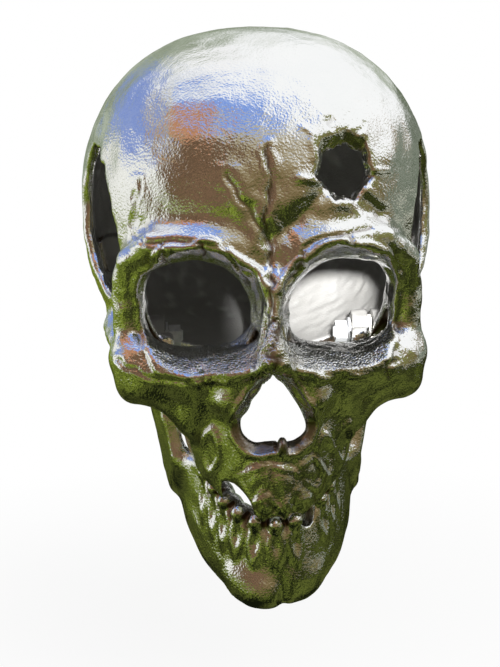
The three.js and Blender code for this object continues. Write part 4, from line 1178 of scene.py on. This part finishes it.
def add_floor():
    """A floor with a faint shadow near the head, as white as the background further off."""
    bpy.ops.mesh.primitive_plane_add(size=FLOOR_SIZE, location=(0, 0, FLOOR_Z))
    floor = bpy.context.object
    floor.name = "floor"
    material, graph = new_material("pale_floor")
    shader = graph.nodes["Principled BSDF"]
    graph.fill(shader, {"Base Color": FLOOR_COLOUR, "Roughness": FLOOR_ROUGHNESS})
    away = graph.vector("LENGTH", graph.place(), "Value")
    whiteness = graph.spread(away, SHADOW_REACH, FLOOR_WHITENESS)
    share = graph.math("MULTIPLY", seen_as_background(graph), whiteness)
    white = graph.add("Emission", {"Color": WHITE}, "Emission")
    mixed = graph.add("MixShader", {"Fac": share, 1: shader.outputs["BSDF"], 2: white}, "Shader")
    graph.fill(graph.nodes["Material Output"], {"Surface": mixed})
    floor.data.materials.append(material)


def add_world():
    """White to the camera, to mirrors and through glass, and a softer fill to everything else."""
    world = bpy.data.worlds.new("studio")
    world.use_nodes = True
    bpy.context.scene.world = world
    graph = Graph(world.node_tree)
    strength = graph.spread(seen_as_background(graph), (0, 1), FILL_AND_BACKGROUND)
    graph.fill(graph.nodes["Background"], {"Color": WHITE, "Strength": strength})


# What the metal mirrors, out of the picture: the sky from the horizon up to overhead, and patches on it,
# each with its azimuth, rise, half width and half height in degrees, and a light and a dark colour
HEAD_MIDDLE = Vector((0, -0.1, -0.02))
DOME_RADIUS = 2.2
DOME_LOW = -6
DOME_COLUMNS = 40
DOME_ROWS = 16
SKY = [
    (0.00, (0.12, 0.1, 0.04)),
    (0.14, (0.17, 0.125, 0.055)),
    (0.37, (0.24, 0.18, 0.09)),
    (0.62, (0.4, 0.345, 0.22)),
    (0.79, (0.55, 0.54, 0.48)),
    (0.93, (0.74, 0.77, 0.84)),
    (1.00, (0.86, 0.89, 0.95)),
]
PATCHES = [
    ("white_behind", 180, 50, 62, 40, (1, 1, 1), (0.85, 0.85, 0.85)),
    ("trees_behind", 180, 10, 70, 48, (0.5, 0.55, 0.45), (0.16, 0.2, 0.12)),
    ("trees_right", -126, 4, 52, 16, (0.3, 0.33, 0.27), (0.05, 0.07, 0.035)),
    ("cloud_left", 95, 62, 40, 16, (0.95, 0.97, 1), (0.5, 0.54, 0.6)),
    ("house", 36, 20, 40, 28, (0.25, 0.15, 0.085), (0.05, 0.035, 0.022)),
    ("cloud_low", 100, 10, 36, 27, (1, 1, 0.97), (0.7, 0.71, 0.64)),
    ("sky_left", 121, 31, 42, 17, (0.1, 0.19, 0.56), (0.34, 0.42, 0.68)),
    ("sky_front", 35, 68, 42, 18, (0.1, 0.22, 0.68), (0.34, 0.48, 0.82)),
    ("roof", 60, 49, 26, 16, (0.68, 0.34, 0.18), (0.28, 0.13, 0.075)),
    ("cloud_right", -102, 54, 76, 44, (1, 1, 1), (0.93, 0.95, 0.95)),
    ("hedge_right", -62, 20, 24, 20, (0.34, 0.33, 0.12), (0.07, 0.08, 0.03)),
]
PATCH_RAGGEDNESS = 0.9
PATCH_EDGE = (0.6, 0.78)
PATCH_MOTTLING = (0.4, 0.6)


def only_mirrored(thing, material):
    """Keeps a piece of the surroundings from everything but mirrors."""
    thing.data.materials.append(material)
    thing.visible_camera = False
    thing.visible_diffuse = False
    thing.visible_shadow = False
    bpy.context.scene.collection.objects.link(thing)


def dome_mesh():
    points = []
    faces = []
    for i in range(DOME_ROWS + 1):
        for j in range(DOME_COLUMNS + 1):
            azimuth = 180 * (2 * j / DOME_COLUMNS - 1)
            rise = DOME_LOW + (90 - DOME_LOW) * i / DOME_ROWS
            points.append(direction(azimuth, rise) * DOME_RADIUS)
    for i in range(DOME_ROWS):
        for j in range(DOME_COLUMNS):
            low = i * (DOME_COLUMNS + 1) + j
            high = low + DOME_COLUMNS + 1
            faces.append((low, low + 1, high + 1, high))
    mesh = bpy.data.meshes.new("surroundings")
    mesh.from_pydata(points, [], faces)
    return mesh


def sky_colour(graph, height):
    """The colour of the open sky at a height from the horizon to overhead."""
    colour = graph.add("ValToRGB", {"Fac": height}, "Color")
    stops = colour.node.color_ramp.elements
    while len(stops) < len(SKY):
        stops.new(0.5)
    for stop, (position, shade) in zip(stops, SKY):
        stop.position = position
        stop.color = (*shade, 1)
    return colour


def patch_fade(graph, way, name, azimuth, rise, half_width, half_height):
    """One in the middle of an oval patch of the dome, falling to nought at its edge."""
    out = direction(azimuth, rise)
    fit = {
        "Vector": way,
        "Location": out,
        "Rotation": out.to_track_quat("Z", "Y").to_euler(),
        "Scale": Vector((math.radians(half_width), math.radians(half_height), 1)),
    }
    fitted = graph.add("Mapping", fit, "Vector", label=name, vector_type="TEXTURE")
    return graph.add("TexGradient", {"Vector": fitted}, "Fac", gradient_type="SPHERICAL")


def add_surroundings():
    """A dome of sky with clouds, trees and a house on it, for the metal to mirror."""
    dome = bpy.data.objects.new("surroundings", dome_mesh())
    dome.location = HEAD_MIDDLE
    material, graph = new_material("surroundings")
    way = graph.vector("NORMALIZE", graph.place(), "Vector")
    colour = sky_colour(graph, graph.part(way, "Z"))
    ragged = graph.noise(scale=2.4, detail=6)
    mottling = graph.spread(graph.noise(scale=5, detail=5), PATCH_MOTTLING)
    for name, *oval, light, dark in PATCHES:
        fade = patch_fade(graph, way, name, *oval)
        cover = graph.spread(graph.math("MULTIPLY_ADD", ragged, PATCH_RAGGEDNESS, fade), PATCH_EDGE)
        colour = graph.blend(cover, colour, graph.blend(mottling, dark, light))
    graph.only_glows(colour)
    only_mirrored(dome, material)


# Grass in the sun, in painted shade out of the sun, in the head's painted shadow near it, and far to its
# sides: dark and light colours
LAWN_HALF = 3.2
LAWN_LIFT = 0.004
LAWN_SHADE = (0.2, 0.66)
LAWN_HAZE = (0.9, 1.6)
LAWN_SUN_SLOPE = -0.35
LAWN_SUN_EDGE = (0.42, 0.6)
LAWN_TUFT_EDGE = (0.43, 0.6)
SUNLIT_GRASS = ((0.025, 0.035, 0.006), (0.4, 0.51, 0.065))
GRASS_OUT_OF_SUN = ((0.004, 0.006, 0.002), (0.055, 0.06, 0.018))
SHADED_GRASS = ((0.006, 0.008, 0.003), (0.085, 0.1, 0.022))
HAZY_GRASS = (0.62, 0.63, 0.52)


def add_lawn():
    """Uneven grass just above the floor, for the lower side of the metal to mirror."""
    mesh = bpy.data.meshes.new("lawn")
    corners = [(x * LAWN_HALF, y * LAWN_HALF, 0) for x, y in ((-1, -1), (1, -1), (1, 1), (-1, 1))]
    mesh.from_pydata(corners, [], [(0, 1, 2, 3)])
    lawn = bpy.data.objects.new("lawn", mesh)
    lawn.location = (0, 0, FLOOR_Z + LAWN_LIFT)
    material, graph = new_material("lawn")
    place = graph.place()
    across = graph.part(place, "X")
    tufts = graph.spread(graph.noise(scale=11, detail=7), LAWN_TUFT_EDGE)
    # Painted sunlight across the lawn; grass out of the sun is painted shade
    sunny = graph.math("MULTIPLY_ADD", across, LAWN_SUN_SLOPE, graph.noise(scale=3, detail=3))
    out_of_sun = graph.blend(tufts, *GRASS_OUT_OF_SUN)
    grass = graph.blend(graph.spread(sunny, LAWN_SUN_EDGE), out_of_sun, graph.blend(tufts, *SUNLIT_GRASS))
    # Painted shadow of the head on the grass near it
    lit = graph.spread(graph.vector("LENGTH", place, "Value"), LAWN_SHADE)
    near = graph.blend(lit, graph.blend(tufts, *SHADED_GRASS), grass)
    hazy = graph.spread(graph.math("ABSOLUTE", across), LAWN_HAZE)
    graph.only_glows(graph.blend(hazy, near, HAZY_GRASS))
    only_mirrored(lawn, material)


def add_lamp(name, kind, azimuth, rise, distance, aim, power):
    """A lamp that lights what is not polished; the metal mirrors its surroundings instead."""
    place = HEAD_MIDDLE + direction(azimuth, rise) * distance
    data = bpy.data.lights.new(name, kind)
    data.energy = power
    lamp = bpy.data.objects.new(name, data)
    lamp.location = place
    lamp.rotation_euler = (place - aim).to_track_quat("Z", "Y").to_euler()
    lamp.visible_glossy = False
    bpy.context.scene.collection.objects.link(lamp)
    return data


def add_key_lamp():
    lamp = add_lamp("key", "AREA", azimuth=-40, rise=50, distance=1.5, aim=HEAD_MIDDLE, power=12)
    lamp.size = 0.9


def add_eye_lamp():
    """A narrow beam from beside the camera through one eye to the inside of the head."""
    eye = in_frame(31, RIM_Y, 0)
    lamp = add_lamp("through_the_eye", "SPOT", azimuth=1, rise=8.5, distance=0.7, aim=eye, power=170)
    lamp.spot_size = math.radians(5.6)
    lamp.spot_blend = 0.3
    lamp.shadow_soft_size = 0.02


bpy.context.scene.view_settings.view_transform = "Standard"
metal = cast_metal()
cast_piece("skull_face", face, FACE_BOX, CELL, creased, metal, "cranium", "face_shell")
cast_piece("skull_rear", rear, REAR_BOX, REAR_CELL, unmarked, metal, "cranium", "rear_shell")
cast_piece("skull_jaw", jaw, JAW_BOX, CELL, chin_marks, metal, "jaw", "mandible")
dress_hardware()
add_camera()
add_floor()
add_lawn()
add_surroundings()
add_key_lamp()
add_eye_lamp()
add_world()
